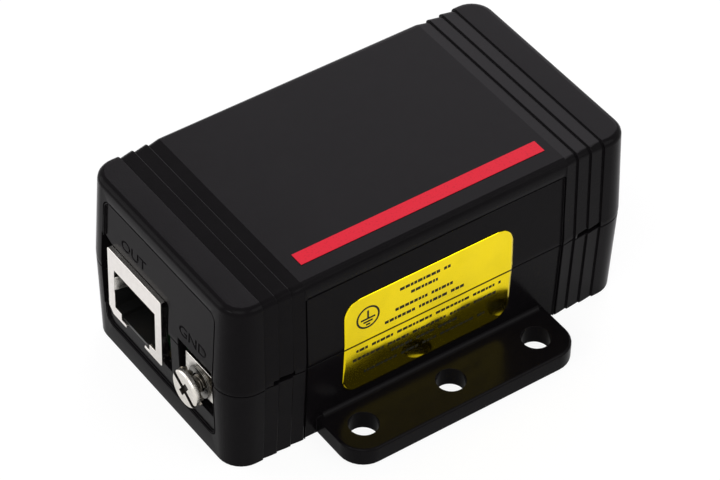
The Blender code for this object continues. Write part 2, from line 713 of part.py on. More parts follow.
def make_jacks(materials):
    """Shield, insert and contacts at both ends."""
    shield = take_mesh(make_shield(), materials["tinned_steel"])
    insert = take_mesh(make_insert(), materials["insert_plastic"])
    contact = take_mesh(make_contact(), materials["gold_contact"])
    for end, place, turn in jack_places():
        place_copy(end + "_jack_shield", shield, place, (0, 0, turn))
        place_copy(end + "_jack_insert", insert, place, (0, 0, turn))
        for number, offset in enumerate(contact_offsets(), start=1):
            across = (place[0], place[1] + math.cos(turn) * offset, place[2])
            place_copy(f"{end}_contact_{number}", contact, across, (0, 0, turn))


def make_ground_bracket(material):
    """The bent terminal: an upright plate with a raised collar, a foot and two board legs."""
    base = -SCREW_ABOVE_BRACKET_BASE
    thick, radius = BRACKET_THICKNESS, BRACKET_BEND_RADIUS
    outer = radius + thick
    outline = [(0, base + BRACKET_HEIGHT)]
    outline += arc((outer, base + outer), outer, 180, 270, FILLET_STEPS)
    outline += [(BRACKET_FOOT_LENGTH, base), (BRACKET_FOOT_LENGTH, base + thick)]
    outline += arc((outer, base + outer), radius, 270, 180, FILLET_STEPS)
    outline.append((thick, base + BRACKET_HEIGHT))
    half = BRACKET_WIDTH / 2
    bracket = prism("ground_bracket", outline, 1, -half, half)
    join(bracket, cylinder("collar", 0, (0, 0), COLLAR_RADIUS, -COLLAR_HEIGHT, thick / 2))
    hole = SCREW_RADIUS + SCREW_HOLE_CLEARANCE
    cut(bracket, cylinder("thread_hole", 0, (0, 0), hole, -PAST, 2 * thick))
    for side in (-1, 1):
        centre = side * BRACKET_LEG_FROM_MIDDLE
        low = (BRACKET_FOOT_LENGTH - thick, centre - BRACKET_LEG_WIDTH / 2, base - BRACKET_ABOVE_BOARD - LEAD_REACH)
        high = (BRACKET_FOOT_LENGTH - 0.2 * thick, centre + BRACKET_LEG_WIDTH / 2, base + thick / 2)
        join(bracket, box("leg", low, high))
    put(bracket, (BRACKET_FACE, SCREW_Y, SCREW_Z))
    return dress(bracket, material)


def make_ground_screw(material):
    """The terminal screw: a low round head with a slot and a short cross, on a plain shank."""
    head, height, ease = SCREW_HEAD_RADIUS, SCREW_HEAD_HEIGHT, SCREW_HEAD_ROUND
    profile = [(-height + x, r) for r, x in arc((head - ease, ease), ease, 270, 360, FILLET_STEPS)]
    profile += [(0, head), (0, SCREW_RADIUS)]
    tip = SCREW_TIP_CHAMFER
    profile += [(SCREW_LENGTH - tip, SCREW_RADIUS), (SCREW_LENGTH, SCREW_RADIUS - tip)]
    screw = revolve("ground_screw", profile)
    floor = -height + SCREW_SLOT_DEPTH
    width = SCREW_SLOT_WIDTH / 2
    for angle, reach in ((SCREW_SLOT_ANGLE, head + PAST), (SCREW_SLOT_ANGLE + math.pi / 2, SCREW_CROSS_LENGTH / 2)):
        along = np.array([math.cos(angle), math.sin(angle)])
        across = np.array([-along[1], along[0]])
        outline = [along * a * reach + across * b * width for a, b in ((-1, -1), (1, -1), (1, 1), (-1, 1))]
        cut(screw, prism("recess", outline, 0, -height - PAST, floor))
    put(screw, (SCREW_SEAT, SCREW_Y, SCREW_Z))
    return dress(screw, material)


def make_lock_washer(material):
    """The toothed washer that is held captive behind the screw's head."""
    outline = []
    tooth = 2 * math.pi / WASHER_TOOTH_COUNT
    root = WASHER_RADIUS - WASHER_TOOTH_DEPTH
    for index in range(WASHER_TOOTH_COUNT):
        for share, radius in ((-0.3, WASHER_RADIUS), (0.2, WASHER_RADIUS), (0.3, root), (0.6, root)):
            turn = (index + share) * tooth
            outline.append((radius * math.cos(turn), radius * math.sin(turn)))
    washer = prism("ground_lock_washer", outline, 0, SEAT_GAP, SEAT_GAP + WASHER_THICKNESS)
    bore = SCREW_RADIUS + WASHER_CLEARANCE
    cut(washer, cylinder("bore", 0, (0, 0), bore, -PAST, PAST))
    put(washer, (SCREW_SEAT, SCREW_Y, SCREW_Z))
    return dress(washer, material)


def row_between_sockets(count, width):
    """Places along X of a row of pieces with equal gaps between the backs of the sockets."""
    gap = (2 * JACK_BACK - count * width) / (count + 1)
    return [(index - (count - 1) / 2) * (width + gap) for index in range(count)]


def gas_tube_places():
    """Places of the gas tubes, in a row along X between the sockets."""
    return [(x, GAS_TUBE_Y) for x in row_between_sockets(GAS_TUBE_COUNT, 2 * GAS_TUBE_RADIUS)]


def gas_tube_leads():
    """Places of a gas tube's three leads along its length."""
    reach = GAS_TUBE_LENGTH / 2 - 2 * GAS_TUBE_LEAD_RADIUS
    return (-reach, 0.0, reach)


def make_gas_tubes(material):
    """Three-pole discharge tubes: three metal rings, two ceramic waists and three leads."""
    full, waist = GAS_TUBE_RADIUS, GAS_TUBE_RADIUS - GAS_TUBE_WAIST
    half = GAS_TUBE_LENGTH / 2
    ring = GAS_TUBE_LENGTH / 7
    profile = [(-half, full), (ring - half, full), (ring - half, waist), (-ring / 2, waist), (-ring / 2, full)]
    profile += [(-x, r) for x, r in reversed(profile)]
    tube = revolve("gas_tube", profile, 20)
    low = -full - SEAT_GAP - LEAD_REACH
    for along in gas_tube_leads():
        join(tube, cylinder("lead", 2, (along, 0), GAS_TUBE_LEAD_RADIUS, low, 0, 10))
    mesh = take_mesh(tube, material)
    for number, (x, y) in enumerate(gas_tube_places(), start=1):
        place_copy(f"gas_tube_{number}", mesh, (x, y, BOARD_TOP + SEAT_GAP + full), (0, 0, math.pi / 2))


def make_diode_arrays(material):
    """Small diode packages with bent legs along both long edges."""
    length, width, height = ARRAY_SIZE
    lift = 3 * SEAT_GAP
    array = box("diode_array", (-length / 2, -width / 2, lift), (length / 2, width / 2, height))
    leg = 0.15
    knee = width / 2 + ARRAY_LEG_REACH / 2
    foot = width / 2 + ARRAY_LEG_REACH
    for side in (-1, 1):
        path = [(side * (width / 2 - leg), height / 2), (side * knee, height / 2), (side * knee, leg), (side * foot, leg)]
        outline = strip_outline(path, leg)
        for index in range(ARRAY_LEG_COUNT):
            middle = (index - (ARRAY_LEG_COUNT - 1) / 2) * ARRAY_LEG_PITCH
            join(array, prism("leg", outline, 0, middle - ARRAY_LEG_WIDTH / 2, middle + ARRAY_LEG_WIDTH / 2))
    mesh = take_mesh(array, material)
    for number, x in enumerate(row_between_sockets(ARRAY_COUNT, length), start=1):
        place_copy(f"diode_array_{number}", mesh, (x, ARRAY_Y, BOARD_TOP))


def make_circuit_board(material):
    """The board, with a hole for every screw, peg, shield leg, contact and lead that passes it."""
    half_x = CASE_LENGTH / 2 + skin_offset(BOARD_BOTTOM) - WALL - BOARD_CLEARANCE
    half_y = CASE_WIDTH / 2 + skin_offset(BOARD_BOTTOM) - WALL - BOARD_CLEARANCE
    outline = rounded_rectangle((-half_x, -half_y), (half_x, half_y), CORNER_RADIUS - WALL, 4)
    board = prism("circuit_board", outline, 2, BOARD_BOTTOM, BOARD_TOP)
    low, high = BOARD_BOTTOM - PAST, BOARD_TOP + PAST
    more = BOARD_HOLE_CLEARANCE
    for centre in boss_places():
        cut(board, cylinder("screw_hole", 2, centre, BOARD_SCREW_RADIUS + more, low, high, 16))
    for end, place, turn in jack_places():
        way = math.cos(turn)
        for side in (-1, 1):
            peg = (place[0] + way * PEG_FROM_FRONT, place[1] + side * PEG_FROM_MIDDLE)
            cut(board, cylinder("peg_hole", 2, peg, PEG_RADIUS + more, low, high, 20))
            near = place[0] + way * (SHIELD_LEG_FROM_FRONT - more)
            far = place[0] + way * (SHIELD_LEG_FROM_FRONT + SHIELD_LEG_WIDTH + more)
            wall = place[1] + side * (JACK_WIDTH / 2 - SHIELD_THICKNESS / 2)
            spread = SHIELD_THICKNESS / 2 + more
            cut(board, box("leg_slot", (min(near, far), wall - spread, low), (max(near, far), wall + spread, high)))
        for offset in contact_offsets():
            tail = (place[0] + way * CONTACT_TAIL, place[1] + offset)
            cut(board, cylinder("contact_hole", 2, tail, CONTACT_THICKNESS / 2 + more, low, high, 8))
    foot_end = BRACKET_FACE + BRACKET_FOOT_LENGTH
    for side in (-1, 1):
        centre = SCREW_Y + side * BRACKET_LEG_FROM_MIDDLE
        half = BRACKET_LEG_WIDTH / 2 + more
        near, far = foot_end - BRACKET_THICKNESS - more, foot_end + more
        cut(board, box("bracket_slot", (near, centre - half, low), (far, centre + half, high)))
    for x, y in gas_tube_places():
        for along in gas_tube_leads():
            cut(board, cylinder("lead_hole", 2, (x, y + along), GAS_TUBE_LEAD_RADIUS + more, low, high, 10))
    return dress(board, material)


def make_board_screws(material):
    """The four screws that hold the board on its bosses."""
    head = BOARD_SCREW_HEAD_RADIUS
    height = BOARD_SCREW_HEAD_HEIGHT
    profile = [(-height, head / 2), (-0.6 * height, 0.9 * head), (0, head), (0, BOARD_SCREW_RADIUS)]
    profile += [(BOARD_SCREW_LENGTH - BOARD_SCREW_RADIUS, BOARD_SCREW_RADIUS), (BOARD_SCREW_LENGTH, 0.3 * BOARD_SCREW_RADIUS)]
    screw = revolve("board_screw", profile, 20)
    mesh = take_mesh(screw, material)
    for number, (x, y) in enumerate(boss_places(), start=1):
        place_copy(f"board_screw_{number}", mesh, (x, y, BOARD_TOP + SEAT_GAP), (0, math.pi / 2, 0))


def make_side_label(material):
    """The foil label: a rounded rectangle across the seam that follows the drafts of both halves."""
    left, right = LABEL_FROM_PANEL_ENDS
    low = (left - SIDE_PANEL_HALF, FLANGE_THICKNESS + LABEL_ABOVE_FLANGE)
    high = (SIDE_PANEL_HALF - right, CASE_HEIGHT - SIDE_PANEL_BELOW_TOP - LABEL_BELOW_PANEL_TOP)
    outline = rounded_rectangle(low, high, LABEL_CORNER_RADIUS)
    half = CASE_WIDTH / 2
    label = prism("side_label", outline, 1, -half - PAST, -half + WALL)
    inner = SIDE_PANEL_DEPTH - LABEL_GAP
    heights = [0, WIDEST_HEIGHT, CASE_HEIGHT]
    near = [(-(half + skin_offset(z) - inner), z) for z in heights]
    far = [(y - LABEL_THICKNESS, z) for y, z in reversed(near)]
    band = prism("label_band", near + far, 0, -CASE_LENGTH, CASE_LENGTH)
    combine(label, band, "INTERSECT")
    return dress(label, material)


def make_top_stripe(material):
    """The red strip along the top face, near the labelled side."""
    start = -CASE_WIDTH / 2 + STRIPE_FROM_EDGE
    base = CASE_HEIGHT + LABEL_GAP
    low = (STRIPE_FROM_RIBS[0] - RIB_INNER, start, base)
    high = (RIB_INNER - STRIPE_FROM_RIBS[1], start + STRIPE_WIDTH, base + STRIPE_THICKNESS)
    return dress(box("top_stripe", low, high), material)


def make_materials():
    """Every finish of the object, by name."""
    return {
        "case_plastic": finish_material("case_plastic", (0.013, 0.012, 0.013), 0.48),
        "insert_plastic": finish_material("insert_plastic", (0.006, 0.006, 0.006), 0.40),
        "tinned_steel": finish_material("tinned_steel", (0.80, 0.78, 0.74), 0.28, 1.0),
        "zinc_steel": finish_material("zinc_steel", (0.76, 0.73, 0.68), 0.30, 1.0),
        "gold_contact": finish_material("gold_contact", (0.83, 0.60, 0.22), 0.25, 1.0),
        "board": finish_material("board", (0.015, 0.11, 0.035), 0.45),
        "gas_tube": finish_material("gas_tube", (0.72, 0.70, 0.66), 0.35, 0.4),
        "array_body": finish_material("array_body", (0.02, 0.02, 0.02), 0.5),
        "label_foil": finish_material("label_foil", (0.80, 0.64, 0.01), 0.22, 0.6),
        "stripe_red": finish_material("stripe_red", (0.78, 0.03, 0.05), 0.45),
    }


def main():
    clear_scene()
    materials = make_materials()
    make_top_cover(materials["case_plastic"])
    make_bottom_shell(materials["case_plastic"])
    make_circuit_board(materials["board"])
    make_jacks(materials)
    make_ground_bracket(materials["tinned_steel"])
    make_ground_screw(materials["zinc_steel"])
    make_lock_washer(materials["zinc_steel"])
    make_gas_tubes(materials["gas_tube"])
    make_diode_arrays(materials["array_body"])
    make_board_screws(materials["zinc_steel"])
    make_side_label(materials["label_foil"])
    make_top_stripe(materials["stripe_red"])


main()
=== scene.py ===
# %% [markdown]
# # An Ethernet surge protector, dressed
# The imported CAD model gives every solid of the object in metres, at rest. This lesson adds what
# solids leave out: fine edges, engraved words, foil, print, a real thread and all the finishes.
# The first lines load that model as a fixed frame.

# %% Load the frame
import math

import bmesh
import bpy
import numpy as np
from mathutils import Matrix, Vector


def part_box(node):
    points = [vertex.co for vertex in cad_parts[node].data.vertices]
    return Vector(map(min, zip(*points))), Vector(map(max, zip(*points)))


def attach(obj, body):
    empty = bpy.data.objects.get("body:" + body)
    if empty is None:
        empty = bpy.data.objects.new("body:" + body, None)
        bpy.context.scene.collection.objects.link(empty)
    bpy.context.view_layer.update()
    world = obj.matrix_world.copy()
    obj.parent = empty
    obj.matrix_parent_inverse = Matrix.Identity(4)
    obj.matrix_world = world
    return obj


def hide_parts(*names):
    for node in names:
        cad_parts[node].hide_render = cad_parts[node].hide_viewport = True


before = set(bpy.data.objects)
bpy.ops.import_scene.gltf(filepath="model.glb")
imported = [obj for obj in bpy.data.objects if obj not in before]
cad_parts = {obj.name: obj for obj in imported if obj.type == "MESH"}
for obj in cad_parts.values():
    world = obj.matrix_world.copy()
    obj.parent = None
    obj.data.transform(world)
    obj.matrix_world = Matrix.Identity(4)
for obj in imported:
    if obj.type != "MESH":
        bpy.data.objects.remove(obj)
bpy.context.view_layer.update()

# %% [markdown]
# ## The camera
# The picture was taken from well above the OUT end with a long lens, so upright edges stay almost
# parallel. A camera could be aimed by eye, but here its place and turn were worked out from known
# corners of the case, so that every edge falls where the photograph has it. Nothing is shifted.

# %% Set up the camera
camera = bpy.data.objects.new("camera", bpy.data.cameras.new("camera"))
bpy.context.scene.collection.objects.link(camera)
camera.location = (-0.244047, -0.330135, 0.403799)
camera.rotation_euler = [math.radians(angle) for angle in (46.5088, -1.2619, -35.2929)]
camera.data.sensor_width = 36.0
camera.data.lens = 169.1696
bpy.context.scene.camera = camera
bpy.context.scene.view_settings.view_transform = "Standard"
print("camera distance in m:", round(camera.location.length, 3))

# %% [markdown]
# ## A short way to write node trees
# Materials are trees of small nodes. Written out in full, each needs several lines, so a few
# helpers keep the recipes readable: one adds a node and fills its sockets, one starts a material
# with Object coordinates, and the others calculate, map a range and blend two colours.

# %% Helpers for node trees
def add(tree, kind, inputs=None, **settings):
    """Add a shader node; inputs maps socket names or numbers to values or to other sockets."""
    item = tree.nodes.new("ShaderNode" + kind)
    for name, value in settings.items():
        setattr(item, name, value)
    for socket, value in (inputs or {}).items():
        if isinstance(value, bpy.types.NodeSocket):
            tree.links.new(value, item.inputs[socket])
        else:
            item.inputs[socket].default_value = value
    return item


def start_material(name, **constants):
    """A new material: its tree, its Principled shader with constants set, and Object coordinates."""
    material = bpy.data.materials.new(name)
    material.use_nodes = True
    tree = material.node_tree
    shader = tree.nodes["Principled BSDF"]
    for socket, value in constants.items():
        shader.inputs[socket.replace("_", " ")].default_value = value
    place = add(tree, "TexCoord").outputs["Object"]
    return material, tree, shader, place


def maths(tree, operation, *numbers):
    """The result of a Math node; each number is a value or a socket."""
    return add(tree, "Math", dict(enumerate(numbers)), operation=operation).outputs[0]


def spread(tree, value, low, high):
    """Map a value between 0 and 1 onto a range."""
    return add(tree, "MapRange", {0: value, 3: low, 4: high}).outputs[0]


def mix_colours(tree, factor, first, second):
    """Blend two colours, each a socket or a linear (r, g, b)."""
    colours = [c if isinstance(c, bpy.types.NodeSocket) else (*c, 1.0) for c in (first, second)]
    item = add(tree, "Mix", {"Factor": factor, 6: colours[0], 7: colours[1]}, data_type="RGBA")
    return item.outputs[2]


print("node helpers ready")

# %% [markdown]
# ## Reusable node groups
# An effect that several finishes share is built once as a group, with its own inputs and outputs.
# It could be copied into each material, but a group is changed in one place. One helper starts a
# group and one places it in a material's tree.

# %% Helpers for groups
def start_group(name, inputs, outputs):
    """A new node group: its tree, the sockets that come in, and a function that sends one out."""
    tree = bpy.data.node_groups.new(name, "ShaderNodeTree")
    for label, value in inputs.items():
        kind = "NodeSocketVector" if value is None else "NodeSocketFloat"
        socket = tree.interface.new_socket(label, in_out="INPUT", socket_type=kind)
        if value is not None:
            socket.default_value = value
    for label in outputs:
        tree.interface.new_socket(label, in_out="OUTPUT", socket_type="NodeSocketFloat")
    come_in = tree.nodes.new("NodeGroupInput").outputs
    go_out = tree.nodes.new("NodeGroupOutput")
    return tree, come_in, lambda label, socket: tree.links.new(socket, go_out.inputs[label])


def use_group(tree, group, inputs):
    """Place a group in a tree and give back its output sockets."""
    item = tree.nodes.new("ShaderNodeGroup")
    item.node_tree = group
    for label, value in inputs.items():
        if isinstance(value, bpy.types.NodeSocket):
            tree.links.new(value, item.inputs[label])
        else:
            item.inputs[label].default_value = value
    return item.outputs


print("group helpers ready")

# %% [markdown]
# ## Two effects of the surface: grain and handling
# Moulded plastic carries the fine spark-eroded grain of its mould, and handling leaves soft, broad
# patches of different gloss. Both could be drawn anew in each material. Here each is built once as
# a group with its own inputs, so that every material can set its scale, and the groups only put
# out values that vary over the surface.

# %% Moulded grain and handling
def make_grain_group():
    """Fine pits: a rough noise plus a cell pattern, both set by grains per metre."""
    inputs = {"Place": None, "Grains": 3500.0}
    tree, come_in, send = start_group("moulded_grain", inputs, ["Height", "Tone"])
    pits = {"Vector": come_in["Place"], "Scale": come_in["Grains"], "Detail": 3.0}
    noise = add(tree, "TexNoise", pits)
    cells = add(tree, "TexVoronoi", {"Vector": come_in["Place"], "Scale": come_in["Grains"]})
    send("Height", maths(tree, "ADD", noise.outputs["Fac"], cells.outputs["Distance"]))
    coarse = maths(tree, "MULTIPLY", come_in["Grains"], 0.16)
    tone = add(tree, "TexNoise", {"Vector": come_in["Place"], "Scale": coarse, "Detail": 2.0})
    send("Tone", tone.outputs["Fac"])
    return tree


def make_handling_group():
    """Broad soft patches, sharpened a little so that some areas stay clean."""
    tree, come_in, send = start_group("handling", {"Place": None, "Patches": 55.0}, ["Smudge"])
    spots = {"Vector": come_in["Place"], "Scale": come_in["Patches"], "Detail": 4.0}
    noise = add(tree, "TexNoise", spots)
    limits = {0: noise.outputs["Fac"], 1: 0.38, 2: 0.72}
    send("Smudge", add(tree, "MapRange", limits, interpolation_type="SMOOTHSTEP").outputs[0])
    return tree


grain_group = make_grain_group()
handling_group = make_handling_group()
print("groups:", grain_group.name, handling_group.name)

# %% [markdown]
# ## Two effects of the work: worn edges and brushed lines
# Edges are polished by touch, and rolled or milled metal has long fine lines. Wear could be
# painted by hand, but comparing the rounded normal with the true one finds the edges of any
# shape. The lines are a noise stretched along one direction.

# %% Edge wear and brushed lines
def make_edge_group():
    """Where the rounded normal of a small radius leaves the true normal, there is an edge."""
    tree, come_in, send = start_group("edge_wear", {"Place": None, "Radius": 0.0003}, ["Edge"])
    rounded = add(tree, "Bevel", {"Radius": come_in["Radius"]}, samples=4)
    flat = add(tree, "NewGeometry").outputs["Normal"]
    same = add(tree, "VectorMath", {0: rounded.outputs[0], 1: flat}, operation="DOT_PRODUCT")
    edge = add(tree, "MapRange", {0: same.outputs["Value"], 1: 0.995, 2: 0.86})
    broken = add(tree, "TexNoise", {"Vector": come_in["Place"], "Scale": 900.0, "Detail": 2.0})
    send("Edge", maths(tree, "MULTIPLY", edge.outputs[0], broken.outputs["Fac"]))
    return tree


def make_brushed_group():
    """Long fine lines: a noise whose coordinates are shrunk along the direction of the brush."""
    inputs = {"Place": None, "Stretch": None, "Lines": 9000.0}
    tree, come_in, send = start_group("brushed_lines", inputs, ["Height", "Tone"])
    drawn = add(tree, "VectorMath", {0: come_in["Place"], 1: come_in["Stretch"]}, operation="MULTIPLY")
    fine = {"Vector": drawn.outputs[0], "Scale": come_in["Lines"], "Detail": 3.0}
    lines = add(tree, "TexNoise", fine)
    send("Height", lines.outputs["Fac"])
    fewer = maths(tree, "MULTIPLY", come_in["Lines"], 0.2)
    bands = add(tree, "TexNoise", {"Vector": drawn.outputs[0], "Scale": fewer, "Detail": 1.0})
    send("Tone", bands.outputs["Fac"])
    return tree


edge_group = make_edge_group()
brushed_group = make_brushed_group()
print("groups:", edge_group.name, brushed_group.name)

# %% [markdown]
# ## Black case plastic
# The shells are black ABS from a mould with a fine matt texture. A flat black would look like a
# hole in the picture, so grain drives the bump, smudges drive the roughness, and the edges, which
# touch polishes and pales, get a slightly lighter tone. The shells mirror very little, so that
# level is set low for them, and higher for the smooth inserts of the sockets.

# %% Plastics
def moulded_plastic(name, colour, pale, roughness, grains, depth, specular):
    """A moulded plastic with grain, smudges and paler edges; depth is the grain's, in metres."""
    material, tree, shader, place = start_material(name)
    grain = use_group(tree, grain_group, {"Place": place, "Grains": grains})
    smudge = use_group(tree, handling_group, {"Place": place})["Smudge"]
    edge = use_group(tree, edge_group, {"Place": place})["Edge"]
    tone = mix_colours(tree, spread(tree, grain["Tone"], 0.0, 0.5), colour, pale)
    tree.links.new(mix_colours(tree, edge, tone, pale), shader.inputs["Base Color"])
    gloss = maths(tree, "ADD", spread(tree, smudge, 0.0, -0.07), roughness)
    tree.links.new(gloss, shader.inputs["Roughness"])
    bump = add(tree, "Bump", {"Strength": 0.5, "Distance": depth, "Height": grain["Height"]})
    tree.links.new(bump.outputs[0], shader.inputs["Normal"])
    shader.inputs["Specular IOR Level"].default_value = specular
    return material


case_plastic = moulded_plastic(
    "case_plastic", (0.0042, 0.0036, 0.0042), (0.0080, 0.0070, 0.0080),
    roughness=0.22, grains=3300.0, depth=0.000010, specular=0.035,
)
insert_plastic = moulded_plastic(
    "insert_plastic", (0.006, 0.006, 0.006), (0.012, 0.012, 0.012),
    roughness=0.34, grains=5000.0, depth=0.000006, specular=0.3,
)
print("plastics:", case_plastic.name, insert_plastic.name)

# %% [markdown]
# ## Metals
# The socket shields are thin tinned sheet with a cloudy, slightly grainy face. The terminal is
# bright plated steel, brushed along its width. A metal could be one colour and one roughness, but
# real plating is told by fine lines and clouds in both, so one recipe draws them for every metal.
# A second one darkens a plate round a screw with painted shade, where the screw's head shades it.

# %% Metal recipes
def plated_metal(name, colour, shade, roughness, stretch, lines, depth):
    """A bare metal with fine lines along one direction and cloudy patches."""
    material, tree, shader, place = start_material(name, Metallic=1.0)
    inputs = {"Place": place, "Stretch": stretch, "Lines": lines}
    brushed = use_group(tree, brushed_group, inputs)
    cloud = use_group(tree, handling_group, {"Place": place, "Patches": 400.0})["Smudge"]
    edge = use_group(tree, edge_group, {"Place": place, "Radius": 0.00012})["Edge"]
    tone = mix_colours(tree, spread(tree, brushed["Tone"], 0.0, 0.6), colour, shade)
    tree.links.new(mix_colours(tree, edge, tone, colour), shader.inputs["Base Color"])
    gloss = maths(tree, "ADD", spread(tree, cloud, 0.0, 0.12), roughness)
    tree.links.new(gloss, shader.inputs["Roughness"])
    bump = add(tree, "Bump", {"Strength": 0.35, "Distance": depth, "Height": brushed["Height"]})
    tree.links.new(bump.outputs[0], shader.inputs["Normal"])
    return material


def paint_shade_round(material, y, z, low, high):
    """Paint shade on a metal round an axis along X: most within the low radius, not at all past the
    high.
    """
    tree = material.node_tree
    base_colour = tree.nodes["Principled BSDF"].inputs["Base Color"]
    clean = base_colour.links[0].from_socket
    place = add(tree, "TexCoord").outputs["Object"]
    offset = add(tree, "VectorMath", {0: place, 1: (0.0, y, z)}, operation="SUBTRACT").outputs[0]
    flat = add(tree, "VectorMath", {0: offset, 1: (0.0, 1.0, 1.0)}, operation="MULTIPLY").outputs[0]
    radius = add(tree, "VectorMath", {0: flat}, operation="LENGTH").outputs["Value"]
    near = add(tree, "MapRange", {0: radius, 1: low, 2: high, 3: 0.85, 4: 0.0}).outputs[0]
    # Painted shade: a dark brown is mixed in near the screw, where its head shades the plate.
    tree.links.new(mix_colours(tree, near, clean, (0.06, 0.055, 0.045)), base_colour)


# The second recipe paints shade round an axis.
print("two recipes ready: plated metal, and grime round an axis")

# %% [markdown]
# ## The metals of this object
# The screw's head is zinc plated; its thread and the washer behind it are duller and browner,
# and darkened further with painted shade from the head. Painted shade also darkens the driver
# recess and the plate round the screw. The contacts are gold over nickel. Each metal is one row
# of a table, because the rows are easy to compare and to change.

# %% Metals
even = (1.0, 1.0, 1.0)
along_y = (1.0, 0.03, 1.0)
across_y = (0.1, 1.0, 0.1)
metals = {
    # colour, darker shade, roughness, stretch, lines a metre, depth of the lines in metres
    "tinned_steel": ((0.84, 0.81, 0.77), (0.66, 0.63, 0.59), 0.15, even, 5200.0, 0.000004),
    "terminal_steel": ((0.80, 0.77, 0.72), (0.38, 0.36, 0.33), 0.13, along_y, 9000.0, 0.000006),
    "zinc_steel": ((0.80, 0.77, 0.72), (0.58, 0.54, 0.48), 0.20, even, 3000.0, 0.000006),
    # The next row is duller, browner steel, darkened further as painted shade under the screw's head.
    "dull_shaded_steel": ((0.22, 0.20, 0.17), (0.09, 0.08, 0.068), 0.30, even, 4000.0, 0.000008),
    # The next row is a near black of painted shade for the driver recess.
    "painted_recess_shade": ((0.05, 0.045, 0.04), (0.02, 0.018, 0.016), 0.40, even, 4000.0, 0.000008),
    "gold_contact": ((0.86, 0.62, 0.24), (0.70, 0.46, 0.15), 0.20, across_y, 9000.0, 0.000002),
}
made = [plated_metal(name, *recipe) for name, recipe in metals.items()]
tinned_steel, terminal_steel, zinc_steel, dull_shaded_steel, painted_recess_shade, gold_contact = made
thread_low, thread_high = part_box("ground_screw")
thread_middle = (thread_low + thread_high) / 2
# Painted shade on the terminal plate round the screw, where its head shades it.
paint_shade_round(terminal_steel, thread_middle.y, thread_middle.z, low=0.0029, high=0.0037)
print("metals:", list(metals))

# %% [markdown]
# ## The board
# Behind the sockets lies a green board. Its solder mask is a thin coat over copper tracks, which
# show as slightly paler lines. The tracks could be drawn one by one, but little of the board is
# seen, so a pattern of bands stands for them and a clear layer for the coat.

# %% Board
def board_finish():
    """Green mask: wavy bands along X stand for tracks, with bare fibre at the cut edges."""
    material, tree, shader, place = start_material("board", Coat_Weight=0.4, Coat_Roughness=0.15)
    stretch = add(tree, "VectorMath", {0: place, 1: (0.25, 1.0, 1.0)}, operation="MULTIPLY").outputs[0]
    waves = {"Vector": stretch, "Scale": 130.0, "Distortion": 3.0, "Detail": 1.0}
    bands = add(tree, "TexWave", waves, bands_direction="Y")
    track = add(tree, "MapRange", {0: bands.outputs["Fac"], 1: 0.62, 2: 0.70}).outputs[0]
    mask = mix_colours(tree, track, (0.010, 0.085, 0.028), (0.022, 0.17, 0.050))
    normal = add(tree, "NewGeometry").outputs["Normal"]
    upright = add(tree, "SeparateXYZ", {0: normal}).outputs["Z"]
    flat = maths(tree, "ABSOLUTE", upright)
    tree.links.new(mix_colours(tree, flat, (0.36, 0.30, 0.14), mask), shader.inputs["Base Color"])
    tree.links.new(spread(tree, track, 0.42, 0.34), shader.inputs["Roughness"])
    bump = add(tree, "Bump", {"Strength": 0.5, "Distance": 0.00004, "Height": track})
    tree.links.new(bump.outputs[0], shader.inputs["Normal"])
    return material


board_green = board_finish()
print("board:", board_green.name)

# %% [markdown]
# ## Tubes and packages
# The discharge tubes have pale ceramic between bright rings, and the diode packages are dull epoxy
# with bright legs. Each could be split into pieces, but each is one solid, so its two finishes are
# told apart by how far a point lies from its middle.

# %% Tubes and packages
def banded_finish(name, middle, metal_colour, other_colour, waist):
    """Metal, but a second, duller finish where the distance from a middle along Y is in the waist."""
    material, tree, shader, place = start_material(name)
    along = add(tree, "SeparateXYZ", {0: place}).outputs["Y"]
    away = maths(tree, "SUBTRACT", along, middle)
    far = maths(tree, "ABSOLUTE", away)
    low, high = waist
    past_low = maths(tree, "GREATER_THAN", far, low)
    below_high = maths(tree, "LESS_THAN", far, high)
    dull = maths(tree, "MULTIPLY", past_low, below_high)
    cloud = use_group(tree, handling_group, {"Place": place, "Patches": 600.0})["Smudge"]
    metal = mix_colours(tree, cloud, metal_colour, [0.8 * value for value in metal_colour])
    tree.links.new(mix_colours(tree, dull, metal, other_colour), shader.inputs["Base Color"])
    tree.links.new(spread(tree, dull, 1.0, 0.0), shader.inputs["Metallic"])
    tree.links.new(spread(tree, dull, 0.25, 0.5), shader.inputs["Roughness"])
    return material


tube_low, tube_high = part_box("gas_tube_1")
tube_middle, tube_length = (tube_low.y + tube_high.y) / 2, tube_high.y - tube_low.y
gas_tube = banded_finish(
    "gas_tube", tube_middle, (0.78, 0.76, 0.72), (0.72, 0.66, 0.58),
    waist=(tube_length / 14, tube_length * 5 / 14),
)
array_low, array_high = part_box("diode_array_1")
array_middle = (array_low.y + array_high.y) / 2
array_body = banded_finish(
    "array_body", array_middle, (0.74, 0.73, 0.70), (0.02, 0.02, 0.021), waist=(-1.0, 0.0020)
)
print("parts on the board:", gas_tube.name, array_body.name)

# %% [markdown]
# ## Yellow foil
# The label is a printed metal foil: a mirror seen through clear yellow, never quite flat. It could
# be a yellow plastic, but only a full metal in the lacquer's colour mirrors the flange and the
# paper as foil does. Its normals wander slowly, and the crease along the seam is darkened with
# painted shade.

# %% Foil
kink_above_seam = 0.0011


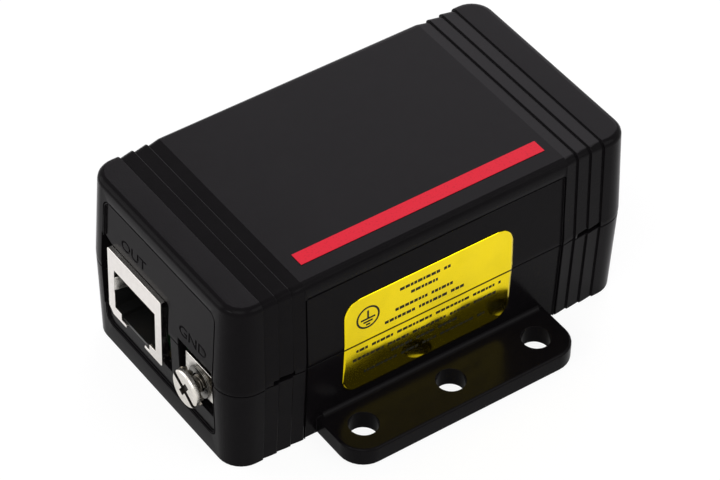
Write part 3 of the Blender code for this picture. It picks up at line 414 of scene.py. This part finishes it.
def foil_finish():
    """Yellow lacquered foil: slow waves bend the mirror, and painted shade darkens the crease at the
    seam.

    The bump's height, in metres, is a slow noise plus a slope below the case's widest line, which
    lies 1.1 mm above the seam: the foil bridges that kink and goes on facing a little upwards."""
    material, tree, shader, place = start_material("label_foil", Metallic=1.0, Coat_Weight=0.05)
    shader.inputs["Coat Roughness"].default_value = 0.05
    smudge = use_group(tree, handling_group, {"Place": place, "Patches": 90.0})["Smudge"]
    lacquer = mix_colours(tree, smudge, (0.90, 0.70, 0.006), (0.80, 0.62, 0.005))
    height = add(tree, "SeparateXYZ", {0: place}).outputs["Z"]
    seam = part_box("top_cover")[0].z
    below = maths(tree, "SUBTRACT", seam, height)
    away = maths(tree, "ABSOLUTE", below)
    # Painted shade: the base colour turns near black in a narrow band at the seam's crease.
    crease = add(tree, "MapRange", {0: away, 1: 0.00012, 2: 0.00026, 3: 1.0, 4: 0.0}).outputs[0]
    colour = mix_colours(tree, crease, lacquer, (0.03, 0.022, 0.002))
    tree.links.new(colour, shader.inputs["Base Color"])
    tree.links.new(spread(tree, smudge, 0.10, 0.15), shader.inputs["Roughness"])
    wave = add(tree, "TexNoise", {"Vector": place, "Scale": 140.0, "Detail": 1.0}).outputs["Fac"]
    under_kink = maths(tree, "ADD", below, kink_above_seam)
    slope = maths(tree, "MAXIMUM", under_kink, 0.0)
    slope = maths(tree, "MULTIPLY", slope, 0.095)
    shape = maths(tree, "MULTIPLY_ADD", wave, 0.00012, slope)
    bump = add(tree, "Bump", {"Strength": 1.0, "Distance": 1.0, "Height": shape})
    tree.links.new(bump.outputs[0], shader.inputs["Normal"])
    return material


label_foil = foil_finish()
print("foil:", label_foil.name)

# %% [markdown]
# ## Ink and paint
# The ink on the label is black and matt. The stripe is a red screen print, thick enough to fill the
# plastic's grain halfway. Each could be one flat colour, but seen close, print shows specks of its
# ground, so one recipe takes the plastic's grain and lets its highest parts show through.

# %% Ink and paint
def print_finish(name, colour, worn, roughness, speck, specular):
    """Printed ink or paint with fine specks where the ground's grain shows through."""
    material, tree, shader, place = start_material(name)
    grain = use_group(tree, grain_group, {"Place": place, "Grains": 3300.0})
    mask = add(tree, "MapRange", {0: grain["Height"], 1: 1.15, 2: 1.35}).outputs[0]
    part = maths(tree, "MULTIPLY", mask, speck)
    tree.links.new(mix_colours(tree, part, colour, worn), shader.inputs["Base Color"])
    gloss = spread(tree, grain["Tone"], roughness - 0.05, roughness + 0.05)
    tree.links.new(gloss, shader.inputs["Roughness"])
    bump = add(tree, "Bump", {"Strength": 0.4, "Distance": 0.000012, "Height": grain["Height"]})
    tree.links.new(bump.outputs[0], shader.inputs["Normal"])
    shader.inputs["Specular IOR Level"].default_value = specular
    return material


black_ink = print_finish(
    "black_ink", (0.012, 0.012, 0.008), (0.08, 0.065, 0.01), roughness=0.5, speck=0.5, specular=0.15
)
stripe_red = print_finish(
    "stripe_red", (0.74, 0.016, 0.038), (0.52, 0.012, 0.026), roughness=0.42, speck=0.4, specular=0.06
)
print("prints:", black_ink.name, stripe_red.name)

# %% [markdown]
# ## Fine edges for the moulded and folded solids
# Real moulded edges are a tenth of a millimetre round, and that thin line of light is what tells
# plastic from paper. The CAD solids have sharp edges and a mesh of loose triangles. A copy is
# merged, its flat areas are made whole again and a Bevel modifier rounds its edges. Cutting and
# bevelling are done in millimetres, because the exact Boolean handles metre-sized numbers badly.
# The points on the seam's plane move by a given gap, which opens the joint line so that it shows.

# %% Helpers for copies of the solids
seam_height = 1000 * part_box("top_cover")[0].z
ramp_foot = 0.0261


def in_millimetres(node, seam_gap=0.0):
    """A CAD node's mesh in millimetres: merged, flat faces made whole, seam points moved up."""
    shape = bmesh.new()
    shape.from_mesh(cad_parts[node].data)
    bmesh.ops.scale(shape, vec=(1000.0, 1000.0, 1000.0), verts=shape.verts)
    bmesh.ops.remove_doubles(shape, verts=shape.verts, dist=0.0005)
    bmesh.ops.dissolve_limit(shape, angle_limit=math.radians(0.4), verts=shape.verts, edges=shape.edges)
    for corner in shape.verts:
        if abs(corner.co.z - seam_height) < 0.01:
            corner.co.z += seam_gap
    mesh = bpy.data.meshes.new(node + "_copy")
    shape.to_mesh(mesh)
    shape.free()
    return mesh


def settle(obj, cutters=()):
    """Apply an object's modifiers, bring its mesh back to metres and put its cutters away."""
    graph = bpy.context.evaluated_depsgraph_get()
    mesh = bpy.data.meshes.new_from_object(obj.evaluated_get(graph))
    obj.modifiers.clear()
    obj.data = mesh
    mesh.transform(Matrix.Scale(0.001, 4))
    mesh.shade_smooth()
    mesh.set_sharp_from_angle(angle=math.radians(38))
    sharpen_ramps(mesh)
    for cutter in cutters:
        bpy.data.objects.remove(cutter, do_unlink=True)
    return obj


def sharpen_ramps(mesh):
    """Make the loop of edges where the innermost rib's ramp leaves the wall sharp in shading."""
    shape = bmesh.new()
    shape.from_mesh(mesh)
    for edge in shape.edges:
        on_loop = all(abs(abs(corner.co.x) - ramp_foot) < 0.00012 for corner in edge.verts)
        if on_loop and len(edge.link_faces) == 2 and edge.calc_face_angle() > math.radians(2):
            edge.smooth = False
    shape.to_mesh(mesh)
    shape.free()


print("seam at", round(seam_height, 2), "mm")

# %% [markdown]
# ## From a copy to a piece
# A copy is cut where words and grooves go, gets its finish, and takes the CAD solid's place on its
# body. This could be written out for each piece, but all shells and sheets need the same steps.
# The last modifier weights the normals by area, so that flat faces stay flat beside round edges.

# %% Pieces from copies
def cut_away(obj, cutters, **settings):
    """Add one exact Boolean difference to an object for each cutter."""
    for cutter in cutters:
        cut = obj.modifiers.new("cut", "BOOLEAN")
        cut.operation = "DIFFERENCE"
        cut.solver = "EXACT"
        cut.object = cutter
        for name, value in settings.items():
            setattr(cut, name, value)


def show(obj, material, body):
    """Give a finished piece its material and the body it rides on."""
    if material.name not in [held.name for held in obj.data.materials if held]:
        obj.data.materials.clear()
        obj.data.materials.append(material)
    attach(obj, body)
    return obj


def edged_copy(node, name, material, width, cutters=(), seam_gap=0.0):
    """Replace a CAD node of the case by its copy with bevelled edges, less what cutters take."""
    obj = bpy.data.objects.new(name, in_millimetres(node, seam_gap))
    bpy.context.scene.collection.objects.link(obj)
    bevel = obj.modifiers.new("edges", "BEVEL")
    bevel.width = width
    bevel.segments = 2
    bevel.limit_method = "ANGLE"
    bevel.angle_limit = math.radians(35)
    bevel.use_clamp_overlap = False
    cut_away(obj, cutters)
    settle(obj, cutters)
    level = obj.modifiers.new("flat_faces", "WEIGHTED_NORMAL")
    level.keep_sharp = True
    level.weight = 100
    show(obj, material, "case")
    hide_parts(node)
    print(name, "faces:", len(obj.data.polygons))


print("a copy's bevel has two segments")

# %% [markdown]
# ## How the walls lean
# The case is widest on a line just above its seam. From there both halves lean in, so that each
# could leave its mould. Words, grooves and label have to follow the walls. They could be projected
# onto the mesh, but the lean is simple enough to write once, as a function of the height, and the
# faces of the shallow panels are worked out from it.

# %% Walls as functions of height
widest_height = seam_height + 1.1
side_wall, side_panel = 22.0, 21.7
end_wall, end_panel = 40.2, 39.8


def lean(z):
    """How far in mm a wall stands in at height z: 0.045 a mm above the widest line, 0.035 below."""
    above = z - widest_height
    return np.where(above >= 0, 0.045 * above, -0.035 * above)


def side_face(z):
    """The y in mm of the labelled side's panel at height z."""
    return -(side_panel - lean(z))


def end_face(z):
    """The distance in mm of an end wall's panel from the middle at height z."""
    return end_panel - lean(z)


print("end panel in mm at the words:", round(float(end_face(25.0)), 2))

# %% [markdown]
# ## Engraved words
# OUT, GND and IN stand proud on the mould's end walls, so on the part they are shallow grooves.
# They could be a bump, but a real groove catches light on one wall and shade on the other from
# any side. Each word becomes a solid, turned to face its wall, that is cut away.

# %% Words as cutters
word_height, word_depth = 2.1, 0.28


def word_cutter(word, end, left, right, top):
    """A word as a solid in mm: text x runs along the wall, from left to right in y, and text y up."""
    curve = bpy.data.curves.new("word", "FONT")
    curve.body = word
    curve.extrude = 1.0
    curve.offset = 0.012
    curve.resolution_u = 4
    flat = bpy.data.objects.new("word", curve)
    bpy.context.scene.collection.objects.link(flat)
    graph = bpy.context.evaluated_depsgraph_get()
    mesh = bpy.data.meshes.new_from_object(flat.evaluated_get(graph))
    bpy.data.objects.remove(flat, do_unlink=True)
    points = np.empty(3 * len(mesh.vertices), np.float32)
    mesh.vertices.foreach_get("co", points)
    points = points.reshape(-1, 3).astype(float)
    low, high = points.min(0), points.max(0)
    across = (points[:, 0] - low[0]) / (high[0] - low[0])
    up = (points[:, 1] - low[1]) / (high[1] - low[1])
    z = top - word_height + up * word_height
    out = end_face(z) + np.where(points[:, 2] > 0, 2.0, -word_depth)
    placed = np.column_stack([end * out, left + across * (right - left), z])
    mesh.vertices.foreach_set("co", placed.ravel())
    mesh.update()
    shape = bmesh.new()
    shape.from_mesh(mesh)
    bmesh.ops.remove_doubles(shape, verts=shape.verts, dist=0.0005)
    bmesh.ops.recalc_face_normals(shape, faces=shape.faces)
    shape.to_mesh(mesh)
    shape.free()
    cutter = bpy.data.objects.new("word", mesh)
    bpy.context.scene.collection.objects.link(cutter)
    cutter.hide_render = True
    return cutter


words = [
    word_cutter("OUT", -1, left=11.35, right=3.95, top=27.0),
    word_cutter("GND", -1, left=-5.95, right=-13.8, top=22.05),
    word_cutter("IN", 1, left=4.2, right=8.6, top=27.0),
]
print("words:", len(words), "depth in mm:", word_depth)

# %% [markdown]
# ## Surfaces from grids
# The new pieces are worked out with numpy. They could be modelled by hand, but a surface that is a
# grid of points over two parameters can be changed by a number. Its faces join each point to its
# neighbours, so one helper makes the faces for any grid, open or closed round itself, and another
# adds a face over each end of a tube.

# %% Grids into meshes
def grid_faces(rows, columns, closed_rows=False, closed_columns=False):
    """Quads of a grid whose point (row, column) has the number row x columns + column."""
    number = np.arange(rows * columns).reshape(rows, columns)
    if closed_rows:
        number = np.vstack([number, number[:1]])
    if closed_columns:
        number = np.hstack([number, number[:, :1]])
    corners = (number[:-1, :-1], number[:-1, 1:], number[1:, 1:], number[1:, :-1])
    return np.stack([corner.ravel() for corner in corners], axis=1)


def tube_faces(rows, columns):
    """Faces of a grid closed round its columns, with one face over each end."""
    faces = grid_faces(rows, columns, closed_columns=True).tolist()
    return faces + [list(range(columns)), list(range((rows - 1) * columns, rows * columns))]


def new_piece(name, points, faces, smooth=40):
    """An object in metres from points in millimetres and lists of corner numbers."""
    mesh = bpy.data.meshes.new(name)
    places = (0.001 * np.asarray(points)).reshape(-1, 3)
    mesh.from_pydata(places.tolist(), [], [list(face) for face in faces])
    shape = bmesh.new()
    shape.from_mesh(mesh)
    bmesh.ops.remove_doubles(shape, verts=shape.verts, dist=1e-8)
    bmesh.ops.recalc_face_normals(shape, faces=shape.faces)
    shape.to_mesh(mesh)
    shape.free()
    mesh.shade_smooth()
    mesh.set_sharp_from_angle(angle=math.radians(smooth))
    obj = bpy.data.objects.new(name, mesh)
    bpy.context.scene.collection.objects.link(obj)
    return obj


def new_cutter(name, points, faces):
    """The same kind of object, but kept in millimetres, for cutting."""
    obj = new_piece(name, points, faces)
    obj.data.transform(Matrix.Scale(1000.0, 4))
    return obj


print("grid of 3 x 3 points, faces:", len(grid_faces(3, 3)))

# %% [markdown]
# ## Fine lines round the panels
# A fine line runs round each shallow panel of the end and side walls. It could be drawn with a
# darker colour, but a real groove stays dark from any side. Its cutter is a small square carried
# round the panel's outline, just outside the panel's own edge.

# %% Grooves as cutters
def panel_outline(half, low, high, radius, grow):
    """A rounded rectangle, grown on all sides: (along, z) points, with two at the widest line."""
    half, low, high, radius = half + grow, low - grow, high + grow, radius + grow
    bend = np.radians(np.linspace(0, 90, 5))
    corner = radius * np.stack([np.cos(bend), np.sin(bend)], axis=1) - radius
    kink = np.array([[half, widest_height]])
    return np.vstack([
        corner + (half, high),
        corner[::-1] * (-1, 1) + (-half, high),
        kink * (-1, 1),
        corner * (-1, -1) + (-half, low),
        corner[::-1] * (1, -1) + (half, low),
        kink,
    ])


groove_from_panel, groove_width, groove_depth = 0.1, 0.30, 0.34
end_outline = {"half": 16.05, "low": 4.6, "high": 31.7, "radius": 1.5}
side_outline = {"half": 25.5, "low": -5.0, "high": 31.7, "radius": 0.2}


def groove_cutter(on_end, sign, outline, wall):
    """A square tube along a panel's outline: inner and outer path, each once deep and once proud."""
    inner, outer = groove_from_panel, groove_from_panel + groove_width
    corners = []
    for grow, offset in ((inner, -groove_depth), (inner, 0.2), (outer, 0.2), (outer, -groove_depth)):
        along, z = panel_outline(**outline, grow=grow).T
        out = sign * (wall - lean(z) + offset)
        corners.append(np.stack((out, along, z) if on_end else (along, out, z), axis=1))
    points = np.stack(corners, axis=1)
    faces = grid_faces(len(points), 4, closed_rows=True, closed_columns=True)
    return new_cutter("groove", points, faces)


def panel_grooves():
    """One groove round each of the four panels; those of the side panels run out past the base."""
    ends = [groove_cutter(True, sign, end_outline, end_wall) for sign in (-1, 1)]
    sides = [groove_cutter(False, sign, side_outline, side_wall) for sign in (-1, 1)]
    return ends + sides


print("groove width in mm:", groove_width)

# %% [markdown]
# ## Case, sockets and terminal
# Every solid with visible edges now gets its fine-edged copy: the moulded shells a wide soft
# edge, the folded sheet of the shields and the punched terminal a narrow one. The shells could
# share one width with the sheet, but then the light would run along both in the same way.

# %% Case and sheet metal
shell_edge, sheet_edge, plate_edge = 0.10, 0.05, 0.08
seam_gap = 0.05
edged_copy("top_cover", "cover", case_plastic, shell_edge,
           words + panel_grooves(), seam_gap)
edged_copy("bottom_shell", "base", case_plastic, shell_edge,
           panel_grooves(), -seam_gap)
for end in ("out", "in"):
    edged_copy(end + "_jack_shield", end + "_socket_shell", tinned_steel, sheet_edge)
edged_copy("ground_bracket", "terminal_plate", terminal_steel, plate_edge)

# %% [markdown]
# ## The solids that keep their CAD shape
# The inserts, contacts, board and the parts on it have the right shape already and are hardly
# seen inside the sockets. They could be copied too, but only their finishes would be new, so each
# keeps its solid and gets a material by the beginning of its name.

# %% Finishes for the carried-over solids
def paint(material, *beginnings):
    """Give a material to every CAD node whose name starts with one of the words."""
    names = [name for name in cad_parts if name.startswith(beginnings)]
    for name in names:
        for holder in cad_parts[name].material_slots:
            holder.material = material
    print(material.name, "on", len(names), "nodes")


paint(insert_plastic, "out_jack_insert", "in_jack_insert")
paint(gold_contact, "out_contact", "in_contact")
paint(board_green, "circuit_board")
paint(gas_tube, "gas_tube")
paint(array_body, "diode_array")
paint(zinc_steel, "board_screw")
paint(stripe_red, "top_stripe")

# %% [markdown]
# ## The foil label
# The label is stuck over both halves of the case, so it follows the two drafts of the side and
# was pressed into the seam with a fingernail: a sharp crease, whose darkness is painted shade in
# the foil's material. It could be a flat sheet with a bump, but then its rim would float. As a
# grid it is a band of rows in z, each running between a left and a right end that the round
# corners draw in.

# %% Label surface
label_low, label_high = [1000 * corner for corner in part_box("side_label")]
label_corner = 3.2


def label_surface(x, z):
    """The foil's outer face: the side face, 0.15 mm out, less a narrow dent along the seam."""
    dent = 0.05 * np.exp(-((z - seam_height) / 0.10) ** 2)
    ripple = 0.012 * np.sin(0.9 * x + 0.4 * z) * np.sin(0.55 * z - 0.3 * x)
    return side_face(z) - 0.15 + dent + ripple


def label_grid(rows, columns):
    """Rows in z, close together at the seam; ends drawn in by r - sqrt(r^2 - d^2) at the corners."""
    low, high = label_low[2], label_high[2]
    even = np.linspace(0, 1, rows)
    seam = (seam_height - low) / (high - low)
    rows_at = np.sort(np.concatenate([even, seam + np.linspace(-0.025, 0.025, 25)]))
    z = low + (high - low) * rows_at[:, None]
    near = np.clip(label_corner - np.minimum(z - low, high - z), 0, label_corner)
    inset = label_corner - np.sqrt(label_corner ** 2 - near ** 2)
    share = np.linspace(0, 1, columns)[None, :]
    x = label_low[0] + inset + share * (label_high[0] - label_low[0] - 2 * inset)
    z = np.broadcast_to(z, x.shape)
    return np.stack([x, label_surface(x, z), z], axis=-1)


points = label_grid(60, 80)
label = new_piece("foil_label", points, grid_faces(*points.shape[:2]))
thick = label.modifiers.new("thickness", "SOLIDIFY")
thick.thickness = 0.0001
thick.offset = -1.0
show(label, label_foil, "case")
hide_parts("side_label")
corners = points.reshape(-1, 3)
print("label in mm:", np.round(corners.min(0), 2), np.round(corners.max(0), 2))

# %% [markdown]
# ## Small print on the label
# Print of this size is no more than rows of short dark strokes to the eye, and letters would need
# thousands of faces. So each row is a line of plain dashes in groups as long as words. A dash is
# one thin tile laid 0.012 mm above the foil, and all the tiles are worked out at once.

# %% Rows of dashes
ink_height = 0.012


def tiles(boxes):
    """Thin tiles: each box (x0, x1, z0, z1) becomes one quad laid on the label's surface."""
    boxes = np.asarray(boxes, float)
    x = np.repeat(boxes[:, None, :2], 2, axis=1)
    z = np.repeat(boxes[:, 2:, None], 2, axis=2)
    points = np.stack([x, label_surface(x, z) - ink_height, z], axis=-1)
    faces = np.concatenate([grid_faces(2, 2) + 4 * number for number in range(len(boxes))])
    return points.reshape(-1, 3), faces


def row_of_dashes(rng, left, right, base, tall, gap=0.16):
    """Boxes of one row: groups of three to nine short dashes, with wider gaps between the groups."""
    boxes, x = [], left
    while x < right - 0.8:
        for dash in range(rng.integers(3, 10)):
            end = x + rng.uniform(0.4, 1.0)
            if end < right:
                boxes.append((x, end, base, base + tall))
            x = end + gap
        x += 0.65
    return boxes


rng = np.random.default_rng(7)
rows = [(-7.5, 3.0, 24.05), (-5.3, 0.8, 22.45), (-8.4, 4.1, 20.1), (-10.5, 5.9, 18.35),
        (-16.0, 13.9, 14.8), (-16.6, 12.8, 12.9), (-8.9, 4.8, 11.1), (-14.2, 10.4, 9.15)]
boxes = [box for left, right, base in rows for box in row_of_dashes(rng, left, right, base + 0.1, 0.6)]
points, faces = tiles(boxes)
dashes = new_piece("label_rows", points, faces)
show(dashes, black_ink, "case")
print("dashes:", len(boxes))

# %% [markdown]
# ## The earth symbol
# A symbol in a ring stands to the left of the rows: the general sign for an earth connection. It
# could be cut from a font, but it is only a ring and four bars, so the same tiles serve.

# %% Ring and bars
def ring_and_bars(x, z, radius, stroke):
    """An earth symbol: a ring, an upright and three level bars, each shorter than the last."""
    turn = np.linspace(0, 2 * math.pi, 65)[:-1]
    rim = np.array([radius - stroke, radius])
    ring_x = x + rim[:, None] * np.cos(turn)
    ring_z = z + rim[:, None] * np.sin(turn)
    ring_y = label_surface(ring_x, ring_z) - ink_height
    ring = np.stack([ring_x, ring_y, ring_z], axis=-1).reshape(-1, 3)
    bars = [(x - stroke / 2, x + stroke / 2, z - 0.1, z + 0.62 * radius)]
    for step, half in enumerate((0.62, 0.40, 0.18)):
        low = z - 0.1 - stroke - 0.62 * step
        bars.append((x - half * radius, x + half * radius, low, low + stroke))
    points, faces = tiles(bars)
    ring_faces = grid_faces(2, 64, closed_columns=True)
    return np.vstack([ring, points]), np.vstack([ring_faces, faces + len(ring)])


points, faces = ring_and_bars(x=-13.8, z=21.85, radius=2.3, stroke=0.36)
symbol = new_piece("earth_symbol", points, faces)
show(symbol, black_ink, "case")
print("earth symbol faces:", len(faces))

# %% [markdown]
# ## The terminal screw
# The screw has a low round head with a slot and a short cross for a second driver. The recess
# could be a dark picture on a disc, but its walls catch light when the screw turns. So the head is
# a profile turned about the screw's axis, and two crossing blocks are cut out of it. The blocks
# carry a dark material of painted shade, and the cut passes it on to the recess.

# %% Turned profile and driver recess
screw_low, screw_high = [1000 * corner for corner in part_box("ground_screw")]
screw_y = (screw_low[1] + screw_high[1]) / 2
screw_z = (screw_low[2] + screw_high[2]) / 2
head_front = screw_low[0]
head_radius, head_height = 3.4, 1.05
seat = head_front + head_height


def turned(profile, steps=96):
    """A closed solid of revolution about the screw's axis: (x, r) points carried round the turn."""
    profile = np.asarray(profile, float)
    turn = np.linspace(0, 2 * math.pi, steps, endpoint=False)[None, :]
    x = np.broadcast_to(profile[:, :1], (len(profile), steps))
    r = profile[:, 1:]
    points = np.stack([x, screw_y + r * np.cos(turn), screw_z + r * np.sin(turn)], axis=-1)
    return points, tube_faces(len(profile), steps)


def driver_slots(angle, width, depth, lengths):
    """Two crossing blocks in mm that reach from before the head to the floor of the recess."""
    square = ((-1, -1), (1, -1), (1, 1), (-1, 1))
    faces = [(0, 1, 2, 3), (7, 6, 5, 4), (0, 4, 5, 1), (1, 5, 6, 2), (2, 6, 7, 3), (3, 7, 4, 0)]
    blocks = []
    for turn, length in ((angle, lengths[0]), (angle + math.pi / 2, lengths[1])):
        along = np.array([math.cos(turn), math.sin(turn)])
        across = np.array([-along[1], along[0]])
        corners = [along * a * length / 2 + across * b * width / 2 for a, b in square]
        near = [(head_front - 2.0, screw_y + corner[0], screw_z + corner[1]) for corner in corners]
        far = [(head_front + depth, y, z) for x, y, z in near]
        block = new_cutter("driver_slot", near + far, faces)
        # The recess faces get this dark material: painted shade.
        block.data.materials.append(painted_recess_shade)
        blocks.append(block)
    return blocks


print("head radius and height in mm:", head_radius, head_height)

# %% Screw head
rim_round, seat_round = 0.4, 0.12
bend = np.radians(np.linspace(0, 90, 9))[::-1]
rim = [(head_front + rim_round * (1 - math.sin(angle)), head_radius - rim_round * (1 - math.cos(angle)))
       for angle in bend]
front = [(head_front + 0.02, 0.3), (head_front + 0.02, 1.5), (head_front + 0.005, 2.4)]
back = [(seat - seat_round, head_radius), (seat, head_radius - seat_round), (seat, 1.3)]
head = new_cutter("screw_head", *turned(front + rim + back))
head.data.materials.append(zinc_steel)
slots = driver_slots(math.radians(32.8), width=1.1, depth=0.6, lengths=(9.0, 3.4))
cut_away(head, slots, material_mode="TRANSFER")
settle(head, slots)
show(head, zinc_steel, "terminal_screw")
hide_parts("ground_screw")
print("head from x =", round(head_front, 2), "to", round(seat, 2), "mm")

# %% [markdown]
# ## The rolled thread
# The real thread is rolled between two dies, which leaves a ridge that climbs one pitch a turn.
# Rings set one behind the other would look alike but would not screw in. Here the rows of the
# grid follow the helix itself, so the crest stays sharp without a fine mesh.

# %% Thread
def thread_surface(start, end, pitch, root, crest, steps=48, rows_per_turn=8):
    """Rows run along the helix: x = start + pitch (row / rows per turn + turn), kept between the
    ends; r rises from root to crest and back once a pitch, and narrows to a cone at the tip."""
    count = int((end - start) / pitch + 2) * rows_per_turn
    row = np.arange(count)[:, None]
    turn = np.arange(steps)[None, :] / steps
    climb = row / rows_per_turn + turn - 1.0
    x = np.clip(start + pitch * climb, start, end)
    phase = (row / rows_per_turn) % 1.0 + 0 * turn
    ridge = 1 - np.abs(2 * phase - 1)
    r = root + (crest - root) * np.clip(1.6 * ridge - 0.2, 0, 1)
    r = np.minimum(r, np.minimum(0.9 + 1.0 * (end - x), crest))
    angle = 2 * math.pi * turn
    return np.stack([x, screw_y + r * np.cos(angle), screw_z + r * np.sin(angle)], axis=-1)


points = thread_surface(seat - 0.05, screw_high[0], pitch=0.79375, root=1.12, crest=1.45)
thread = new_piece("screw_thread", points, tube_faces(*points.shape[:2]), smooth=70)
# The thread's dull steel is partly painted shade from the head.
show(thread, dull_shaded_steel, "terminal_screw")
print("thread faces:", len(thread.data.polygons))

# %% [markdown]
# ## The toothed lock washer
# It is a thin ring with twelve teeth, each twisted like a propeller blade, so that its corners
# bite. One tooth could be modelled and copied round. Here a tooth is a rectangle carried outwards
# along a radius while it turns, and adding a tooth axis to the arrays gives all twelve at once.

# %% Lock washer
def washer_teeth(count, inner, outer, half_width, half_thick, twist):
    """Teeth (tooth, station, corner, xyz): a rectangle that turns by twist between two radii."""
    share = np.linspace(0, 1, 6)
    reach = inner + share * (outer - inner)
    width = half_width * (1 - 0.15 * share)
    angle = twist * np.clip(2 * share - 0.3, 0, 1)
    corners = np.array([(-1, -1), (1, -1), (1, 1), (-1, 1)], float)
    side = corners[:, 0] * width[:, None]
    up = corners[:, 1] * half_thick
    tangent = side * np.cos(angle)[:, None] - up * np.sin(angle)[:, None]
    x = side * np.sin(angle)[:, None] + up * np.cos(angle)[:, None]
    turn = (2 * math.pi * np.arange(count) / count)[:, None, None]
    y = screw_y + reach[:, None] * np.cos(turn) - tangent * np.sin(turn)
    z = screw_z + reach[:, None] * np.sin(turn) + tangent * np.cos(turn)
    return np.stack([np.broadcast_to(x, y.shape) + washer_middle, y, z], axis=-1)


washer_low, washer_high = [1000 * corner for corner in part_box("ground_lock_washer")]
washer_middle = (washer_low[0] + washer_high[0]) / 2
teeth = washer_teeth(
    12, inner=2.45, outer=3.48, half_width=0.44, half_thick=0.19, twist=math.radians(17)
)
one = tube_faces(*teeth.shape[1:3])
per_tooth = teeth[0].size // 3
faces = [[corner + tooth * per_tooth for corner in face] for tooth in range(len(teeth)) for face in one]
front_x, back_x = washer_low[0] + 0.03, washer_high[0] - 0.03
ring, _ = turned([(front_x, 1.78), (front_x, 2.7), (back_x, 2.7), (back_x, 1.78)], steps=72)
ring_faces = grid_faces(4, 72, closed_rows=True, closed_columns=True) + teeth.size // 3
points = np.vstack([teeth.reshape(-1, 3), ring.reshape(-1, 3)])
washer = new_piece("toothed_washer", points, faces + ring_faces.tolist(), smooth=30)
# The washer's dull steel is partly painted shade from the head.
show(washer, dull_shaded_steel, "lock_washer")
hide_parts("ground_lock_washer")
print("washer points:", len(points))

# %% [markdown]
# ## The floor
# The object stands on white paper that runs out of sight. A dark plane would grey the picture and
# an empty ground would lose the shadow. So the floor is a pale plane that takes the shadow, and
# for the camera and for mirrors it is lifted towards the white of the paper by its own light.

# %% Floor
def paper_floor():
    """White paper: mirrors see its shade, and for the camera most of it is its own even light."""
    material = bpy.data.materials.new("paper_floor")
    material.use_nodes = True
    tree = material.node_tree
    shader = tree.nodes["Principled BSDF"]
    shader.inputs["Roughness"].default_value = 1.0
    shader.inputs["Specular IOR Level"].default_value = 0.0
    shader.inputs["Emission Color"].default_value = (1.0, 1.0, 1.0, 1.0)
    rays = add(tree, "LightPath").outputs
    mirrored = maths(tree, "MAXIMUM", rays["Is Glossy Ray"], rays["Is Transmission Ray"])
    paper = mix_colours(tree, rays["Is Camera Ray"], (0.8, 0.8, 0.8), (0.15, 0.15, 0.15))
    tree.links.new(paper, shader.inputs["Base Color"])
    shade = maths(tree, "MULTIPLY", mirrored, 0.30)
    glow = maths(tree, "MULTIPLY_ADD", rays["Is Camera Ray"], 0.89, shade)
    tree.links.new(glow, shader.inputs["Emission Strength"])
    return material


half, drop = 3.0, -0.00005
mesh = bpy.data.meshes.new("floor")
corners = [(-half, -half, drop), (half, -half, drop), (half, half, drop), (-half, half, drop)]
mesh.from_pydata(corners, [], [(0, 1, 2, 3)])
floor = bpy.data.objects.new("floor", mesh)
bpy.context.scene.collection.objects.link(floor)
floor.data.materials.append(paper_floor())
print("floor", 2 * half, "m wide")

# %% [markdown]
# ## Light
# On black plastic the light is seen as reflections, so each lamp is placed where a face mirrors it.
# A large window stands low behind the object: the top mirrors its edge and is grey, the ramps of
# the near ribs just miss it and stay darker. Two side panels draw the round upright corners, a
# softbox high on the OUT side fills, and a small key lamp gives the metal its sparkle. One even
# sky would be simpler, but it would leave the shape flat.

# %% World and lamps
world = bpy.data.worlds.new("studio")
bpy.context.scene.world = world
world.use_nodes = True
tree = world.node_tree
rays = add(tree, "LightPath").outputs
seen = maths(tree, "MAXIMUM", rays["Is Camera Ray"], rays["Is Glossy Ray"])
seen = maths(tree, "MAXIMUM", seen, rays["Is Transmission Ray"])
background = tree.nodes["Background"]
tree.links.new(spread(tree, seen, 0.25, 1.0), background.inputs["Strength"])
background.inputs["Color"].default_value = (1.0, 1.0, 1.0, 1.0)


def lamp(name, place, size, watts, up=(0.0, 0.0, 1.0), tint=(1.0, 1.0, 1.0)):
    """A square soft lamp that faces the object; up is the direction of its upper edge."""
    light = bpy.data.lights.new(name, "AREA")
    light.size = size
    light.energy = watts
    light.color = tint
    obj = bpy.data.objects.new(name, light)
    bpy.context.scene.collection.objects.link(obj)
    back = Vector(place).normalized()
    right = Vector(up).cross(back).normalized()
    turn = Matrix((right, back.cross(right), back)).transposed()
    obj.matrix_world = Matrix.Translation(place) @ turn.to_4x4()
    return obj


window_up, window_tint = (-0.917, 0.0, 0.398), (1.0, 0.95, 1.02)
lamps = [
    lamp("window", (0.599, 0.580, 0.552), size=0.7, watts=4.4, up=window_up, tint=window_tint),
    lamp("softbox", (-0.45, -0.45, 0.77), size=0.6, watts=2.8),
    lamp("left_panel", (-0.62, 0.72, 0.42), size=0.7, watts=3.4),
    lamp("right_panel", (0.42, -0.68, 0.60), size=0.6, watts=2.3),
    lamp("key", (-0.9, -0.10, 0.60), size=0.25, watts=1.5),
]
print("lamps:", [light.name for light in lamps])

# %% [markdown]
# ## The end
# Every fine piece was laid over a solid. Last, the view layer is brought up to date. The
# dressed object must still fill the CAD model's box and not pass it.

# %% Finish
bpy.context.view_layer.update()
